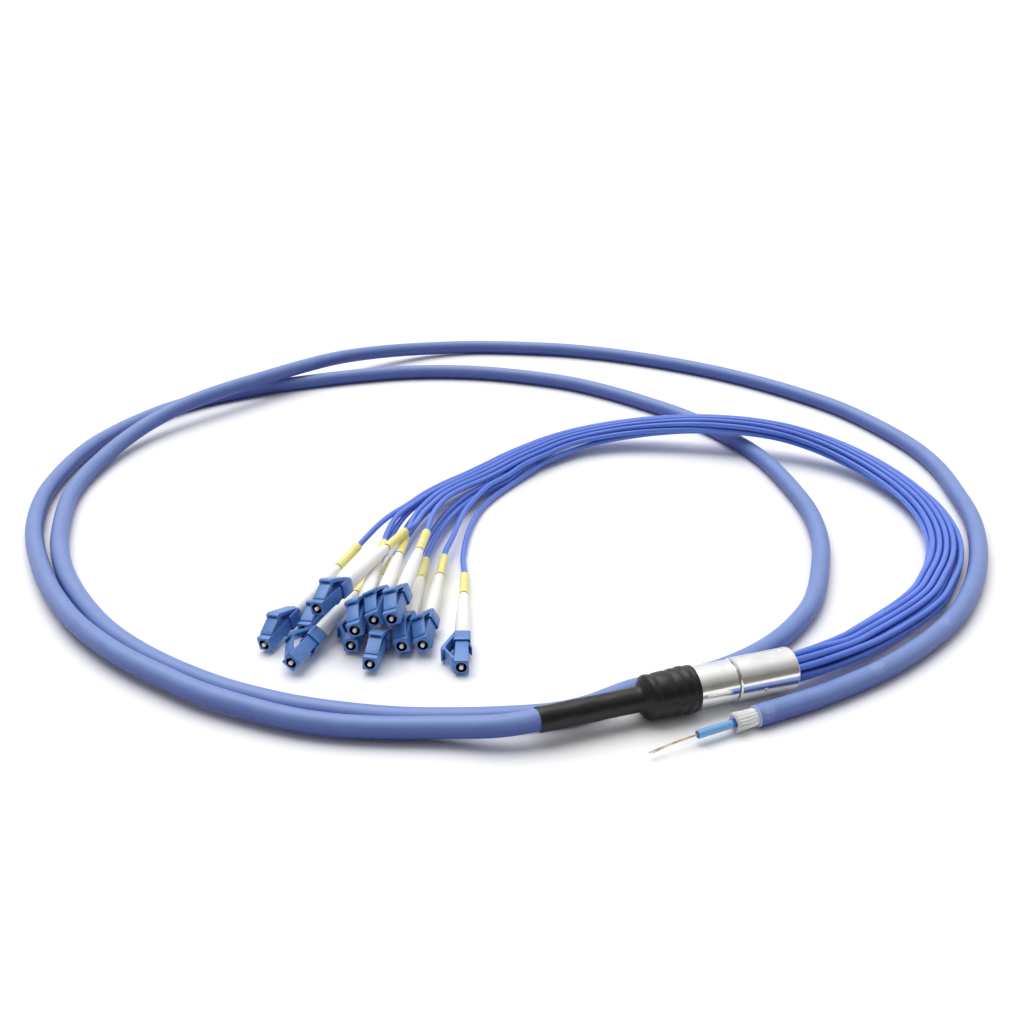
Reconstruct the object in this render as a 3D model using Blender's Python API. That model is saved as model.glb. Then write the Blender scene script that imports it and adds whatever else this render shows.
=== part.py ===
"""Preterminated fibre optic cable: one trunk cable in two loose turns, stripped at one end,
and at the other end a metal gland that fans out into twelve pigtails with small latching plugs.

Metres, +Z up. The gland lies along X over the origin, and the floor is z = 0.
"""

import math

import bmesh
import bpy
import numpy as np
from mathutils import Matrix, Vector

CLEARANCE = 0.0003

TRUNK_DIAMETER = 0.0063
TRUNK_POINTS = 80
YARN_DIAMETER = 0.0048
YARN_LENGTH = 0.0073
LOOSE_TUBE_DIAMETER = 0.0025
LOOSE_TUBE_LENGTH = 0.0115
FIBRE_BUNDLE_DIAMETER = 0.0006
FIBRE_BUNDLE_LENGTH = 0.0155
FIBRE_DROOP = 0.0012

GLAND_ASSEMBLY_START = -0.0389
GLAND_ASSEMBLY_LENGTH = 0.0778
GLAND_BODY_DIAMETER = 0.0120
GLAND_BODY_SHOWS = 0.0124
GLAND_BODY_UNDER_SHRINK = 0.0132
GLAND_SPIGOT_LENGTH = 0.0050
GLAND_INLET_DEPTH = 0.0088
GLAND_SLEEVE_DIAMETER = 0.0126
GLAND_SLEEVE_LENGTH = 0.0188
GLAND_SLEEVE_WALL = 0.0007
GLAND_CHAMFER = 0.0004
GLAND_SIDES = 32

SHRINK_THIN_WALL = 0.0004
SHRINK_FAT_WALL = 0.0004
SHRINK_SHOULDER_LENGTH = 0.0030
SHRINK_RIBS = 4
SHRINK_RIB_HEIGHT = 0.0003

PIGTAIL_DIAMETER = 0.0020
STRAND_PITCH = PIGTAIL_DIAMETER + 0.0003

PLUG_SIDE = 0.00452
PLUG_NOSE_LENGTH = 0.0125
PLUG_EDGE = 0.0003
PLUG_RECESS_DIAMETER = 0.0031
PLUG_RECESS_DEPTH = 0.0024
FERRULE_DIAMETER = 0.00125
FERRULE_PROTRUSION = 0.0005
COLLAR_WIDTH = 0.0054
COLLAR_HEIGHT = 0.0052
COLLAR_LENGTH = 0.0055
LATCH_WIDTH = 0.0041
LATCH_THICKNESS = 0.0008
LATCH_START = 0.0018
LATCH_PEAK_BACK = 0.0078
LATCH_PEAK_HEIGHT = 0.0031
TRIGGER_THICKNESS = 0.0009
TRIGGER_WIDTH = 0.0044
TRIGGER_REACH = 0.0010
SKIRT_LENGTH = 0.0030
SKIRT_WIDTH = 0.0030
SKIRT_DROP = 0.0009

BOOT_LENGTH = 0.0265
BOOT_FRONT_LENGTH = 0.0066
BOOT_FRONT_DIAMETER = 0.0048
BOOT_TAIL_DIAMETER = 0.0032
BOOT_SIDES = 12
MARKER_LENGTH = 0.0133
MARKER_DIAMETER = 0.0030
MARKER_SIDES = 10

AXIS_HEIGHT = GLAND_BODY_DIAMETER / 2 + CLEARANCE + SHRINK_FAT_WALL + SHRINK_RIB_HEIGHT
TRUNK_RADIUS = TRUNK_DIAMETER / 2
ASSEMBLY_START = GLAND_ASSEMBLY_START
ASSEMBLY_END = ASSEMBLY_START + GLAND_ASSEMBLY_LENGTH
SLEEVE_START = ASSEMBLY_END - GLAND_SLEEVE_LENGTH
SHRINK_END = SLEEVE_START - GLAND_BODY_SHOWS
BODY_START = SHRINK_END - GLAND_BODY_UNDER_SHRINK
SPIGOT_END = SLEEVE_START + GLAND_SPIGOT_LENGTH

# The trunk's route in millimetres, from the heat-shrink's end to the stripped end. The crossing
# passes over in a long low hump.
TRUNK_ROUTE = [
    (-41.9, 0.0, 7.0), (-50.6, 2.0, 6.2), (-61.2, 7.7, 5.0), (-74.4, 13.0, 4.4),
    (-86.9, 18.6, 4.3), (-99.2, 26.1, 4.4), (-110.9, 36.0, 4.7), (-122.9, 48.3, 5.0),
    (-132.8, 61.8, 5.2), (-141.5, 75.2, 5.2), (-148.4, 88.9, 5.2), (-154.4, 104.7, 4.9),
    (-159.4, 125.6, 4.4), (-162.4, 147.1, 3.8), (-163.8, 171.0, 3.4), (-162.7, 189.9, 3.2),
    (-159.4, 208.6, 3.2), (-153.9, 225.1, 3.2), (-147.0, 240.6, 3.2), (-138.5, 255.3, 3.2),
    (-128.4, 267.5, 3.2), (-117.6, 277.8, 3.2), (-103.0, 288.8, 3.2), (-82.4, 297.6, 3.2),
    (-56.4, 302.6, 3.2), (-30.4, 304.2, 3.2), (-10.4, 303.8, 3.2), (9.8, 301.2, 3.2),
    (30.5, 294.4, 3.2), (50.6, 283.2, 3.2), (73.3, 264.0, 3.2), (86.2, 246.9, 3.2),
    (97.4, 226.1, 3.2), (108.2, 200.0, 3.2), (114.0, 172.0, 3.2), (115.0, 144.2, 3.2),
    (108.5, 106.5, 3.2), (100.0, 82.4, 3.2), (89.0, 62.7, 3.2), (71.8, 39.4, 3.2),
    (55.6, 25.6, 3.2), (39.5, 16.6, 3.2), (21.6, 11.2, 3.2), (5.6, 10.4, 3.2),
    (-6.4, 10.2, 3.2), (-21.0, 6.9, 3.2), (-32.0, 6.8, 3.2), (-45.8, 9.9, 3.2),
    (-59.4, 14.2, 3.2),
    (-72.6, 19.4, 3.2), (-85.5, 26.4, 3.2), (-97.9, 34.6, 3.2), (-107.8, 43.0, 3.2),
    (-117.7, 53.1, 3.2), (-130.0, 69.4, 3.2), (-139.9, 86.5, 3.2), (-147.0, 104.2, 3.2),
    (-152.4, 125.5, 3.2), (-155.3, 145.9, 3.2), (-155.5, 168.0, 3.2), (-152.1, 195.6, 3.2),
    (-147.6, 213.2, 3.2), (-140.4, 229.4, 3.6), (-130.5, 246.0, 4.5), (-119.2, 259.8, 6.0),
    (-107.9, 269.6, 7.6), (-96.0, 277.4, 9.0), (-79.1, 286.6, 9.9), (-58.7, 297.4, 9.9),
    (-38.0, 307.6, 9.9), (-18.4, 317.0, 9.0), (4.9, 325.6, 6.6), (29.5, 329.8, 4.2),
    (54.8, 326.4, 3.2), (86.9, 311.2, 3.2), (107.6, 296.6, 3.2), (126.3, 278.6, 3.2),
    (143.6, 257.6, 3.2), (157.4, 235.8, 3.2), (169.4, 210.0, 3.2), (177.6, 183.0, 3.2),
    (180.4, 146.6, 3.2), (177.0, 120.0, 3.2), (168.6, 95.5, 3.2), (157.8, 71.0, 3.2),
    (142.2, 47.5, 3.2), (124.0, 27.6, 3.2), (102.8, 11.0, 3.2), (74.5, -2.7, 3.2),
    (45.8, -10.4, 3.2), (20.5, -13.7, 3.2),
]

# The pigtail bundle's middle line in millimetres, from the plugs to the gland. It arches over
# the trunk's inner turn.
BUNDLE_ROUTE = [
    (-48.4, 106.0, 4.0), (-40.4, 121.0, 4.0), (-30.4, 137.0, 4.0), (-18.4, 151.0, 4.0),
    (-4.9, 161.8, 4.0), (9.2, 170.8, 4.0), (21.5, 178.2, 4.2), (36.6, 185.4, 4.6),
    (48.6, 189.0, 5.2), (61.6, 189.6, 6.2), (74.2, 187.2, 7.6), (85.6, 182.6, 9.2),
    (96.0, 177.0, 10.6), (106.2, 170.6, 11.4), (119.6, 161.4, 11.4), (131.2, 151.6, 10.2),
    (140.0, 140.4, 8.2), (146.2, 127.0, 6.4), (149.2, 109.2, 5.0), (148.4, 92.0, 4.4),
    (144.4, 76.2, 4.2), (137.6, 61.0, 4.2), (127.6, 46.6, 4.2), (114.5, 33.8, 4.2),
    (103.9, 25.1, 4.2), (91.8, 18.7, 4.4), (78.5, 12.6, 4.8), (59.7, 4.6, 6.0),
    (39.6, 0.0, 6.9), (26.6, 0.0, 6.9),
]
# The route of the one pigtail that lies apart from the bundle, from its plug to the bundle.
LOOSE_PIGTAIL = 11
LOOSE_ROUTE = [
    (-25.3, 107.5, 1.5), (-19.5, 122.1, 1.5), (-10.7, 138.4, 1.5), (-0.3, 151.6, 1.5),
    (19.1, 167.6, 2.0), (40.0, 181.0, 3.6),
]
# The bundle's half width and half height in millimetres, at shares of that line.
BUNDLE_OUTLINE = [
    (0.00, 24.0, 12.0), (0.08, 13.0, 6.0), (0.16, 8.0, 3.2), (0.30, 6.6, 2.6), (0.45, 5.0, 2.6),
    (0.60, 6.0, 2.4), (0.75, 6.6, 2.2), (0.90, 5.0, 2.8), (0.96, 3.7, 3.4), (1.00, 3.6, 3.6),
]
BUNDLE_TWIST = 2.5
BUNDLE_STATIONS = 38
STRAIGHT_FROM_MARKER = 0.005

# Where each plug lies: the middle of its front face in millimetres, then the way its tail
# points, the tail's rise and its turn about its own length, in degrees.
PLUG_PLACES = [
    (-100.5, 71.1, 3.3, 46.2, 7.1, -6.2),
    (-95.2, 56.1, 4.4, 51.0, 0.3, -51.7),
    (-84.2, 68.3, 14.1, 47.0, 0.2, -8.6),
    (-76.0, 61.4, 3.4, 62.0, 0.1, -87.7),
    (-74.9, 59.4, 9.6, 66.4, 0.8, -20.5),
    (-68.8, 60.0, 11.7, 64.7, -0.7, -27.8),
    (-64.1, 56.9, 12.8, 63.0, 0.9, -19.4),
    (-73.4, 48.3, 3.9, 61.4, 0.5, 3.2),
    (-62.0, 54.3, 4.3, 66.2, -0.4, -17.1),
    (-55.9, 52.5, 4.5, 66.3, 0.3, -28.1),
    (-48.2, 38.6, 3.1, 71.0, 0.1, -89.9),
    (-87.6, 73.9, 4.1, 49.8, -0.1, -6.5),
]


def clear_scene():
    for old in list(bpy.data.objects):
        bpy.data.objects.remove(old, do_unlink=True)


def material(name, colour, roughness, metallic=0.0):
    made = bpy.data.materials.new(name)
    made.use_nodes = True
    shader = made.node_tree.nodes["Principled BSDF"]
    shader.inputs["Base Color"].default_value = (*colour, 1.0)
    shader.inputs["Roughness"].default_value = roughness
    shader.inputs["Metallic"].default_value = metallic
    return made


def add_object(name, data, finish):
    made = bpy.data.objects.new(name, data)
    if not data.materials:
        data.materials.append(finish)
    bpy.context.scene.collection.objects.link(made)
    return made


def turned_mesh(name, profile, sides):
    """A mesh turned about X from a closed profile of (x, radius) points."""
    shape = bmesh.new()
    ring = [shape.verts.new((x, 0.0, -radius)) for x, radius in profile]
    edges = [shape.edges.new((a, b)) for a, b in zip(ring, ring[1:] + ring[:1])]
    bmesh.ops.spin(
        shape, geom=ring + edges, cent=(0, 0, 0), axis=(1, 0, 0), angle=math.tau, steps=sides
    )
    bmesh.ops.remove_doubles(shape, verts=shape.verts, dist=1e-6)
    on_axis = [e for e in shape.edges if all(math.hypot(v.co.y, v.co.z) < 1e-7 for v in e.verts)]
    bmesh.ops.delete(shape, geom=on_axis, context="EDGES")
    bmesh.ops.recalc_face_normals(shape, faces=shape.faces)
    mesh = bpy.data.meshes.new(name)
    shape.to_mesh(mesh)
    shape.free()
    mesh.shade_smooth()
    mesh.set_sharp_from_angle(angle=math.radians(35))
    return mesh


def smooth_route(points, count):
    """Evenly spaced points on a smooth curve through the given ones."""
    given = np.array(points, float)
    padded = np.vstack([2 * given[0] - given[1], given, 2 * given[-1] - given[-2]])
    fine = []
    for a, b, c, d in zip(padded, padded[1:], padded[2:], padded[3:]):
        for t in np.arange(0.0, 1.0, 0.1):
            fine.append(
                0.5 * (2 * b + (c - a) * t + (2 * a - 5 * b + 4 * c - d) * t**2
                       + (3 * b - a - 3 * c + d) * t**3)
            )
    fine = np.array(fine + [given[-1]])
    along = np.concatenate([[0.0], np.cumsum(np.linalg.norm(np.diff(fine, axis=0), axis=1))])
    wanted = np.linspace(0.0, along[-1], count)
    return np.column_stack([np.interp(wanted, along, fine[:, i]) for i in range(3)])


def tube(name, points, diameter, finish, bevel_resolution=2):
    curve = bpy.data.curves.new(name, "CURVE")
    curve.dimensions = "3D"
    curve.bevel_depth = diameter / 2
    curve.bevel_resolution = bevel_resolution
    curve.use_fill_caps = True
    curve.render_resolution_u = 0
    spline = curve.splines.new("POLY")
    spline.points.add(len(points) - 1)
    for point, place in zip(spline.points, points):
        point.co = (*place, 1.0)
    return add_object(name, curve, finish)


def plug_frame(place):
    """The world matrix of a plug: origin at its front face, +X to its tail, +Z to its latch."""
    x, y, z, yaw, rise, turn = place
    return (
        Matrix.Translation(Vector((x, y, z)) / 1000)
        @ Matrix.Rotation(math.radians(yaw), 4, "Z")
        @ Matrix.Rotation(-math.radians(rise), 4, "Y")
        @ Matrix.Rotation(math.radians(turn), 4, "X")
    )


# The trunk cable and its stripped end
def trunk_points():
    """The centreline: straight through the gland's inlet, then along the chosen route."""
    free = smooth_route(np.array(TRUNK_ROUTE) / 1000, TRUNK_POINTS)
    inside = Vector((BODY_START + CLEARANCE, 0.0, AXIS_HEIGHT))
    return np.vstack([inside, free])


def make_trunk(finishes):
    route = trunk_points()
    tube("trunk_cable", route, TRUNK_DIAMETER, finishes["jacket"], bevel_resolution=4)
    end = Vector(route[-1])
    way = (end - Vector(route[-2])).normalized()
    at = end + way * CLEARANCE
    stubs = [
        ("strength_yarns", YARN_DIAMETER, YARN_LENGTH, "yarn"),
        ("loose_tube", LOOSE_TUBE_DIAMETER, LOOSE_TUBE_LENGTH, "loose_tube"),
    ]
    for name, diameter, length, finish in stubs:
        tube(name, [at, at + way * length / 2, at + way * length], diameter, finishes[finish])
        at = at + way * (length + CLEARANCE)
    fibre = []
    for share in np.linspace(0.0, 1.0, 6):
        sag = Vector((0.0, 0.0, -FIBRE_DROOP * share**2))
        fibre.append(at + way * FIBRE_BUNDLE_LENGTH * share + sag)
    tube("fibre_bundle", fibre, FIBRE_BUNDLE_DIAMETER, finishes["fibre"])


# The heat-shrink sleeve and the two turned parts of the gland
def make_gland(finishes):
    trunk_bore = TRUNK_RADIUS + CLEARANCE
    body_radius = GLAND_BODY_DIAMETER / 2
    sleeve_radius = GLAND_SLEEVE_DIAMETER / 2
    sleeve_bore = sleeve_radius - GLAND_SLEEVE_WALL
    spigot_radius = sleeve_bore - CLEARANCE
    shrink_bore = body_radius + CLEARANCE
    thin_radius = trunk_bore + SHRINK_THIN_WALL
    fat_radius = shrink_bore + SHRINK_FAT_WALL

    shoulder_end = BODY_START + SHRINK_SHOULDER_LENGTH / 2
    shoulder_start = shoulder_end - SHRINK_SHOULDER_LENGTH
    profile = [(ASSEMBLY_START, trunk_bore), (ASSEMBLY_START, thin_radius)]
    profile.append((shoulder_start, thin_radius))
    rib_length = (SHRINK_END - shoulder_end) / SHRINK_RIBS
    for rib in range(SHRINK_RIBS):
        start = shoulder_end + rib * rib_length
        profile.append((start, fat_radius))
        profile.append((start + rib_length * 0.3, fat_radius + SHRINK_RIB_HEIGHT))
        profile.append((start + rib_length * 0.7, fat_radius + SHRINK_RIB_HEIGHT))
    profile.append((SHRINK_END, fat_radius))
    profile.append((SHRINK_END, shrink_bore))
    profile.append((BODY_START - CLEARANCE, shrink_bore))
    profile.append((BODY_START - CLEARANCE, trunk_bore))
    shrink = turned_mesh("heat_shrink", profile, GLAND_SIDES)
    add_object("heat_shrink", shrink, finishes["shrink"]).location.z = AXIS_HEIGHT

    inlet_end = BODY_START + GLAND_INLET_DEPTH
    body = turned_mesh(
        "gland_body",
        [
            (BODY_START, trunk_bore),
            (BODY_START, body_radius),
            (SLEEVE_START - CLEARANCE, body_radius),
            (SLEEVE_START - CLEARANCE, spigot_radius),
            (SPIGOT_END, spigot_radius),
            (SPIGOT_END, 0.0),
            (inlet_end, 0.0),
            (inlet_end, trunk_bore),
        ],
        GLAND_SIDES,
    )
    add_object("gland_body", body, finishes["gland"]).location.z = AXIS_HEIGHT

    sleeve = turned_mesh(
        "gland_sleeve",
        [
            (SLEEVE_START, sleeve_bore),
            (SLEEVE_START, sleeve_radius - GLAND_CHAMFER),
            (SLEEVE_START + GLAND_CHAMFER, sleeve_radius),
            (ASSEMBLY_END, sleeve_radius),
            (ASSEMBLY_END, sleeve_bore),
        ],
        GLAND_SIDES,
    )
    add_object("gland_sleeve", sleeve, finishes["gland"]).location.z = AXIS_HEIGHT


# One plug, built once and shared by the twelve
def block(name, low, high, edge=0.0):
    shape = bmesh.new()
    bmesh.ops.create_cube(shape, size=1.0)
    middle = (Vector(low) + Vector(high)) / 2
    size = Vector(high) - Vector(low)
    for vertex in shape.verts:
        vertex.co = middle + Vector(a * b for a, b in zip(vertex.co, size))
    if edge:
        bmesh.ops.bevel(shape, geom=shape.edges, offset=edge, segments=1, affect="EDGES")
    mesh = bpy.data.meshes.new(name)
    shape.to_mesh(mesh)
    shape.free()
    return bpy.data.objects.new(name, mesh)


def side_plate(name, outline, width):
    """A plate of the given side outline, (x, z) points, centred on y = 0."""
    shape = bmesh.new()
    face = shape.faces.new([shape.verts.new((x, -width / 2, z)) for x, z in outline])
    moved = bmesh.ops.extrude_face_region(shape, geom=[face])
    for item in moved["geom"]:
        if isinstance(item, bmesh.types.BMVert):
            item.co.y += width
    bmesh.ops.recalc_face_normals(shape, faces=shape.faces)
    mesh = bpy.data.meshes.new(name)
    shape.to_mesh(mesh)
    shape.free()
    return bpy.data.objects.new(name, mesh)


def joined(base, others, operation="UNION"):
    """The mesh of base after a Boolean with each of the others."""
    scene = bpy.context.scene.collection
    for other in [base, *others]:
        scene.objects.link(other)
    for other in others:
        cut = base.modifiers.new(other.name, "BOOLEAN")
        cut.operation = operation
        cut.solver = "EXACT"
        cut.object = other
    graph = bpy.context.evaluated_depsgraph_get()
    mesh = bpy.data.meshes.new_from_object(base.evaluated_get(graph))
    for other in [base, *others]:
        bpy.data.objects.remove(other, do_unlink=True)
    return mesh


def plug_mesh():
    half = PLUG_SIDE / 2
    nose = block("nose", (0, -half, -half), (PLUG_NOSE_LENGTH, half, half), PLUG_EDGE)
    collar_start = PLUG_NOSE_LENGTH - PLUG_EDGE * 2
    collar_end = collar_start + COLLAR_LENGTH
    collar = block(
        "collar",
        (collar_start, -COLLAR_WIDTH / 2, -COLLAR_HEIGHT / 2),
        (collar_end, COLLAR_WIDTH / 2, COLLAR_HEIGHT / 2),
        PLUG_EDGE,
    )
    peak = half + LATCH_PEAK_HEIGHT
    root = half - LATCH_THICKNESS
    latch = side_plate(
        "latch",
        [
            (LATCH_START, root),
            (LATCH_START + LATCH_THICKNESS, half + LATCH_THICKNESS / 2),
            (LATCH_PEAK_BACK, peak),
            (LATCH_PEAK_BACK, peak - LATCH_THICKNESS),
            (LATCH_START + 3 * LATCH_THICKNESS, root),
        ],
        LATCH_WIDTH,
    )
    collar_top = COLLAR_HEIGHT / 2
    trigger_front = LATCH_PEAK_BACK - TRIGGER_REACH
    trigger = side_plate(
        "trigger",
        [
            (trigger_front, peak - LATCH_THICKNESS / 2),
            (trigger_front, peak + TRIGGER_THICKNESS / 2),
            (LATCH_PEAK_BACK, peak + TRIGGER_THICKNESS),
            (collar_end - TRIGGER_THICKNESS, collar_top + TRIGGER_THICKNESS / 3),
            (collar_end - TRIGGER_THICKNESS, collar_top - TRIGGER_THICKNESS),
            (collar_end - 3 * TRIGGER_THICKNESS, collar_top - TRIGGER_THICKNESS),
        ],
        TRIGGER_WIDTH,
    )
    skirt = side_plate(
        "skirt",
        [
            (collar_start + PLUG_EDGE, -half + PLUG_EDGE),
            (collar_start + PLUG_EDGE, -collar_top + PLUG_EDGE),
            (collar_start - SKIRT_LENGTH, -half - SKIRT_DROP),
            (collar_start - SKIRT_LENGTH, -half - SKIRT_DROP + PLUG_EDGE),
        ],
        SKIRT_WIDTH,
    )
    housing = joined(nose, [collar, latch, trigger, skirt])
    recess = turned_mesh(
        "recess",
        [
            (-PLUG_RECESS_DEPTH, 0.0),
            (-PLUG_RECESS_DEPTH, PLUG_RECESS_DIAMETER / 2),
            (PLUG_RECESS_DEPTH, PLUG_RECESS_DIAMETER / 2),
            (PLUG_RECESS_DEPTH, 0.0),
        ],
        BOOT_SIDES,
    )
    ferrule = turned_mesh(
        "ferrule",
        [
            (-FERRULE_PROTRUSION, 0.0),
            (-FERRULE_PROTRUSION, FERRULE_DIAMETER / 2),
            (2 * PLUG_RECESS_DEPTH, FERRULE_DIAMETER / 2),
            (2 * PLUG_RECESS_DEPTH, 0.0),
        ],
        BOOT_SIDES,
    )
    bored = joined(
        bpy.data.objects.new("housing", housing),
        [bpy.data.objects.new("recess", recess)],
        "DIFFERENCE",
    )
    whole = joined(
        bpy.data.objects.new("bored", bored), [bpy.data.objects.new("ferrule", ferrule)]
    )
    whole.name = "plug"
    return whole


def plug_length():
    return PLUG_NOSE_LENGTH - 2 * PLUG_EDGE + COLLAR_LENGTH


def make_plugs(finishes):
    plug = plug_mesh()
    boot_start = plug_length() + CLEARANCE
    boot_end = boot_start + BOOT_LENGTH
    boot = turned_mesh(
        "boot",
        [
            (boot_start, 0.0),
            (boot_start, BOOT_FRONT_DIAMETER / 2),
            (boot_start + BOOT_FRONT_LENGTH, BOOT_FRONT_DIAMETER / 2),
            (boot_end, BOOT_TAIL_DIAMETER / 2),
            (boot_end, 0.0),
        ],
        BOOT_SIDES,
    )
    marker_start = boot_end + CLEARANCE
    marker_bore = PIGTAIL_DIAMETER / 2 + CLEARANCE
    marker = turned_mesh(
        "marker_sleeve",
        [
            (marker_start, marker_bore),
            (marker_start, MARKER_DIAMETER / 2),
            (marker_start + MARKER_LENGTH, MARKER_DIAMETER / 2),
            (marker_start + MARKER_LENGTH, marker_bore),
        ],
        MARKER_SIDES,
    )
    for number, place in enumerate(PLUG_PLACES, 1):
        frame = plug_frame(place)
        for name, mesh, finish in [
            ("connector", plug, "plug"),
            ("boot", boot, "boot"),
            ("marker_sleeve", marker, "marker"),
        ]:
            add_object(f"{name}_{number:02d}", mesh, finishes[finish]).matrix_world = frame


# The twelve pigtails
def marker_end():
    return plug_length() + 2 * CLEARANCE + BOOT_LENGTH + MARKER_LENGTH


def eased(places, free, room, half_width, half_height, floor):
    """Places across the bundle, drawn into its outline and pushed apart to their own room."""
    for step in range(160):
        gap = places[:, None] - places[None]
        apart = np.linalg.norm(gap, axis=2) + np.eye(len(places))
        short = np.clip(room - apart, 0.0, None) * (1 - np.eye(len(places)))
        push = (gap / apart[..., None] * short[..., None]).sum(axis=1)
        places[free] += 0.5 * push[free]
        if step < 100:
            reach = np.hypot(places[:, 0] / half_width, places[:, 1] / half_height)
            outside = free & (reach > 1.0)
            places[outside] *= (0.8 + 0.2 / reach[outside])[:, None]
        places[free, 1] = np.maximum(places[free, 1], floor)
    return places


def pigtail_points():
    """The route of each pigtail, from its plug to the gland."""
    spine = smooth_route(np.array(BUNDLE_ROUTE) / 1000, BUNDLE_STATIONS)
    outline = np.array(BUNDLE_OUTLINE)
    twist = math.radians(BUNDLE_TWIST)
    frames = [plug_frame(place) for place in PLUG_PLACES]
    ends = np.array([frame @ Vector((marker_end(), 0, 0)) for frame in frames])
    ways = np.array([frame.to_3x3() @ Vector((1, 0, 0)) for frame in frames])
    routes = [
        [end - way * MARKER_LENGTH, end + way * CLEARANCE] for end, way in zip(ends, ways)
    ]
    apart = LOOSE_PIGTAIL - 1
    loose = smooth_route(np.array(LOOSE_ROUTE) / 1000, len(LOOSE_ROUTE) * 2)
    routes[apart].extend(loose[:-1])
    places = np.zeros((len(ends), 2))
    free = np.zeros(len(ends), bool)
    for station, here in enumerate(spine):
        share = station / (BUNDLE_STATIONS - 1)
        before = spine[max(station - 1, 0)]
        after = spine[min(station + 1, BUNDLE_STATIONS - 1)]
        ahead = np.array([after[0] - before[0], after[1] - before[1], 0.0])
        ahead /= np.linalg.norm(ahead)
        across = np.array([ahead[1], -ahead[0], 0.0])
        lead = (here - ends) @ ahead / (ways @ ahead)
        straight = ends + ways * lead[:, None] - here
        straight[apart] = loose[np.argmin(np.abs((loose - here) @ ahead))] - here
        lead[apart] = (here - loose[-1]) @ ahead
        held = ~free & (lead < STRAIGHT_FROM_MARKER)
        half_width = np.interp(share, outline[:, 0], outline[:, 1]) / 1000
        half_height = np.interp(share, outline[:, 0], outline[:, 2]) / 1000
        entering = ~free
        places[entering] = np.column_stack([straight @ across, straight[:, 2]])[entering]
        swing = np.column_stack([
            places[:, 1] * half_width / half_height, -places[:, 0] * half_height / half_width
        ])
        if free.all():
            places = places + twist * swing
        free = ~held
        marked = held.copy()
        marked[apart] = False
        room = np.full((len(ends), len(ends)), STRAND_PITCH)
        room[marked] = STRAND_PITCH + MARKER_DIAMETER / 2
        room[:, marked] = STRAND_PITCH + MARKER_DIAMETER / 2
        floor = PIGTAIL_DIAMETER / 2 + CLEARANCE - here[2]
        places = eased(places, free, room, half_width, half_height, floor)
        for number in np.flatnonzero(free):
            point = here + across * places[number, 0]
            routes[number].append(point + np.array([0.0, 0.0, places[number, 1]]))
    return [np.array(route) for route in routes]


def make_pigtails(finishes):
    for number, route in enumerate(pigtail_points(), 1):
        tube(f"pigtail_{number:02d}", route, PIGTAIL_DIAMETER, finishes["pigtail"])


def main():
    clear_scene()
    finishes = {
        "jacket": material("trunk jacket", (0.155, 0.25, 0.60), 0.42),
        "yarn": material("strength yarns", (0.85, 0.85, 0.84), 0.75),
        "loose_tube": material("loose tube", (0.16, 0.42, 0.75), 0.30),
        "fibre": material("bare fibres", (0.55, 0.36, 0.20), 0.25),
        "shrink": material("heat shrink", (0.012, 0.012, 0.013), 0.45),
        "gland": material("plated gland", (0.82, 0.81, 0.79), 0.18, 1.0),
        "pigtail": material("pigtail jacket", (0.085, 0.16, 0.72), 0.38),
        "plug": material("plug housing", (0.045, 0.17, 0.46), 0.35),
        "boot": material("boot", (0.86, 0.85, 0.80), 0.40),
        "marker": material("marker sleeve", (0.80, 0.74, 0.25), 0.45),
    }
    make_trunk(finishes)
    make_gland(finishes)
    make_plugs(finishes)
    make_pigtails(finishes)


main()
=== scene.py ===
"""A preterminated fibre optic cable: a trunk cable in two loose turns, stripped at one end, with a
gland at the other that fans out into twelve pigtails with latching plugs.

Metres, +Z up, the floor at z = 0 and the gland along X over the origin.
"""

import math

import bmesh
import bpy
import numpy as np
from mathutils import Matrix, Vector


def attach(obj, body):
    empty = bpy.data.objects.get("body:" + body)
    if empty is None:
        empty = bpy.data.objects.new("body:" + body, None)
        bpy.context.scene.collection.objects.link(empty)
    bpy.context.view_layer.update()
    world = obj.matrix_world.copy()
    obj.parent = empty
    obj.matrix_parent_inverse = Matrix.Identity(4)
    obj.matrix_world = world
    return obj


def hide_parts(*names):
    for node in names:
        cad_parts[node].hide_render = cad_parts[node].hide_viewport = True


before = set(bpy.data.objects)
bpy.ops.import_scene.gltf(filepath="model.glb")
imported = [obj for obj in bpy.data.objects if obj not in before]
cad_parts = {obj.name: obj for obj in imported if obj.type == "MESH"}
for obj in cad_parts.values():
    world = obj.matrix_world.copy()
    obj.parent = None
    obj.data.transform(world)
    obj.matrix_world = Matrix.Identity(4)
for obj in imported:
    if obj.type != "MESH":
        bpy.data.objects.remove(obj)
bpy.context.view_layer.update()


# The studio: a wide white table under a broad soft light from above and behind, and a camera that
# looks down on the gland and plugs from in front. None of it belongs to the cable.
CAMERA_PLACE = (-0.1469, -0.2777, 0.208)
CAMERA_TILT = 65.0
CAMERA_TURN = -19.916
CAMERA_LENS = 46.125
TABLE_SIZE = 12.0
ROOM_GLOW = 0.95
LAMP_ENERGY = 1.9
LAMP_SPREAD = 55.0
LAMP_TILT = (-20.0, -12.0)


def node(tree, kind, inputs=None, **settings):
    """A new node with its settings, its sockets set to values or linked to other sockets."""
    made = tree.nodes.new(kind)
    for key, value in settings.items():
        setattr(made, key, value)
    for key, value in (inputs or {}).items():
        if isinstance(value, bpy.types.NodeSocket):
            tree.links.new(value, made.inputs[key])
        else:
            made.inputs[key].default_value = value
    return made


def maths(tree, operation, *values):
    """The result of one step of arithmetic."""
    return node(tree, "ShaderNodeMath", dict(enumerate(values)), operation=operation).outputs[0]


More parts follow.
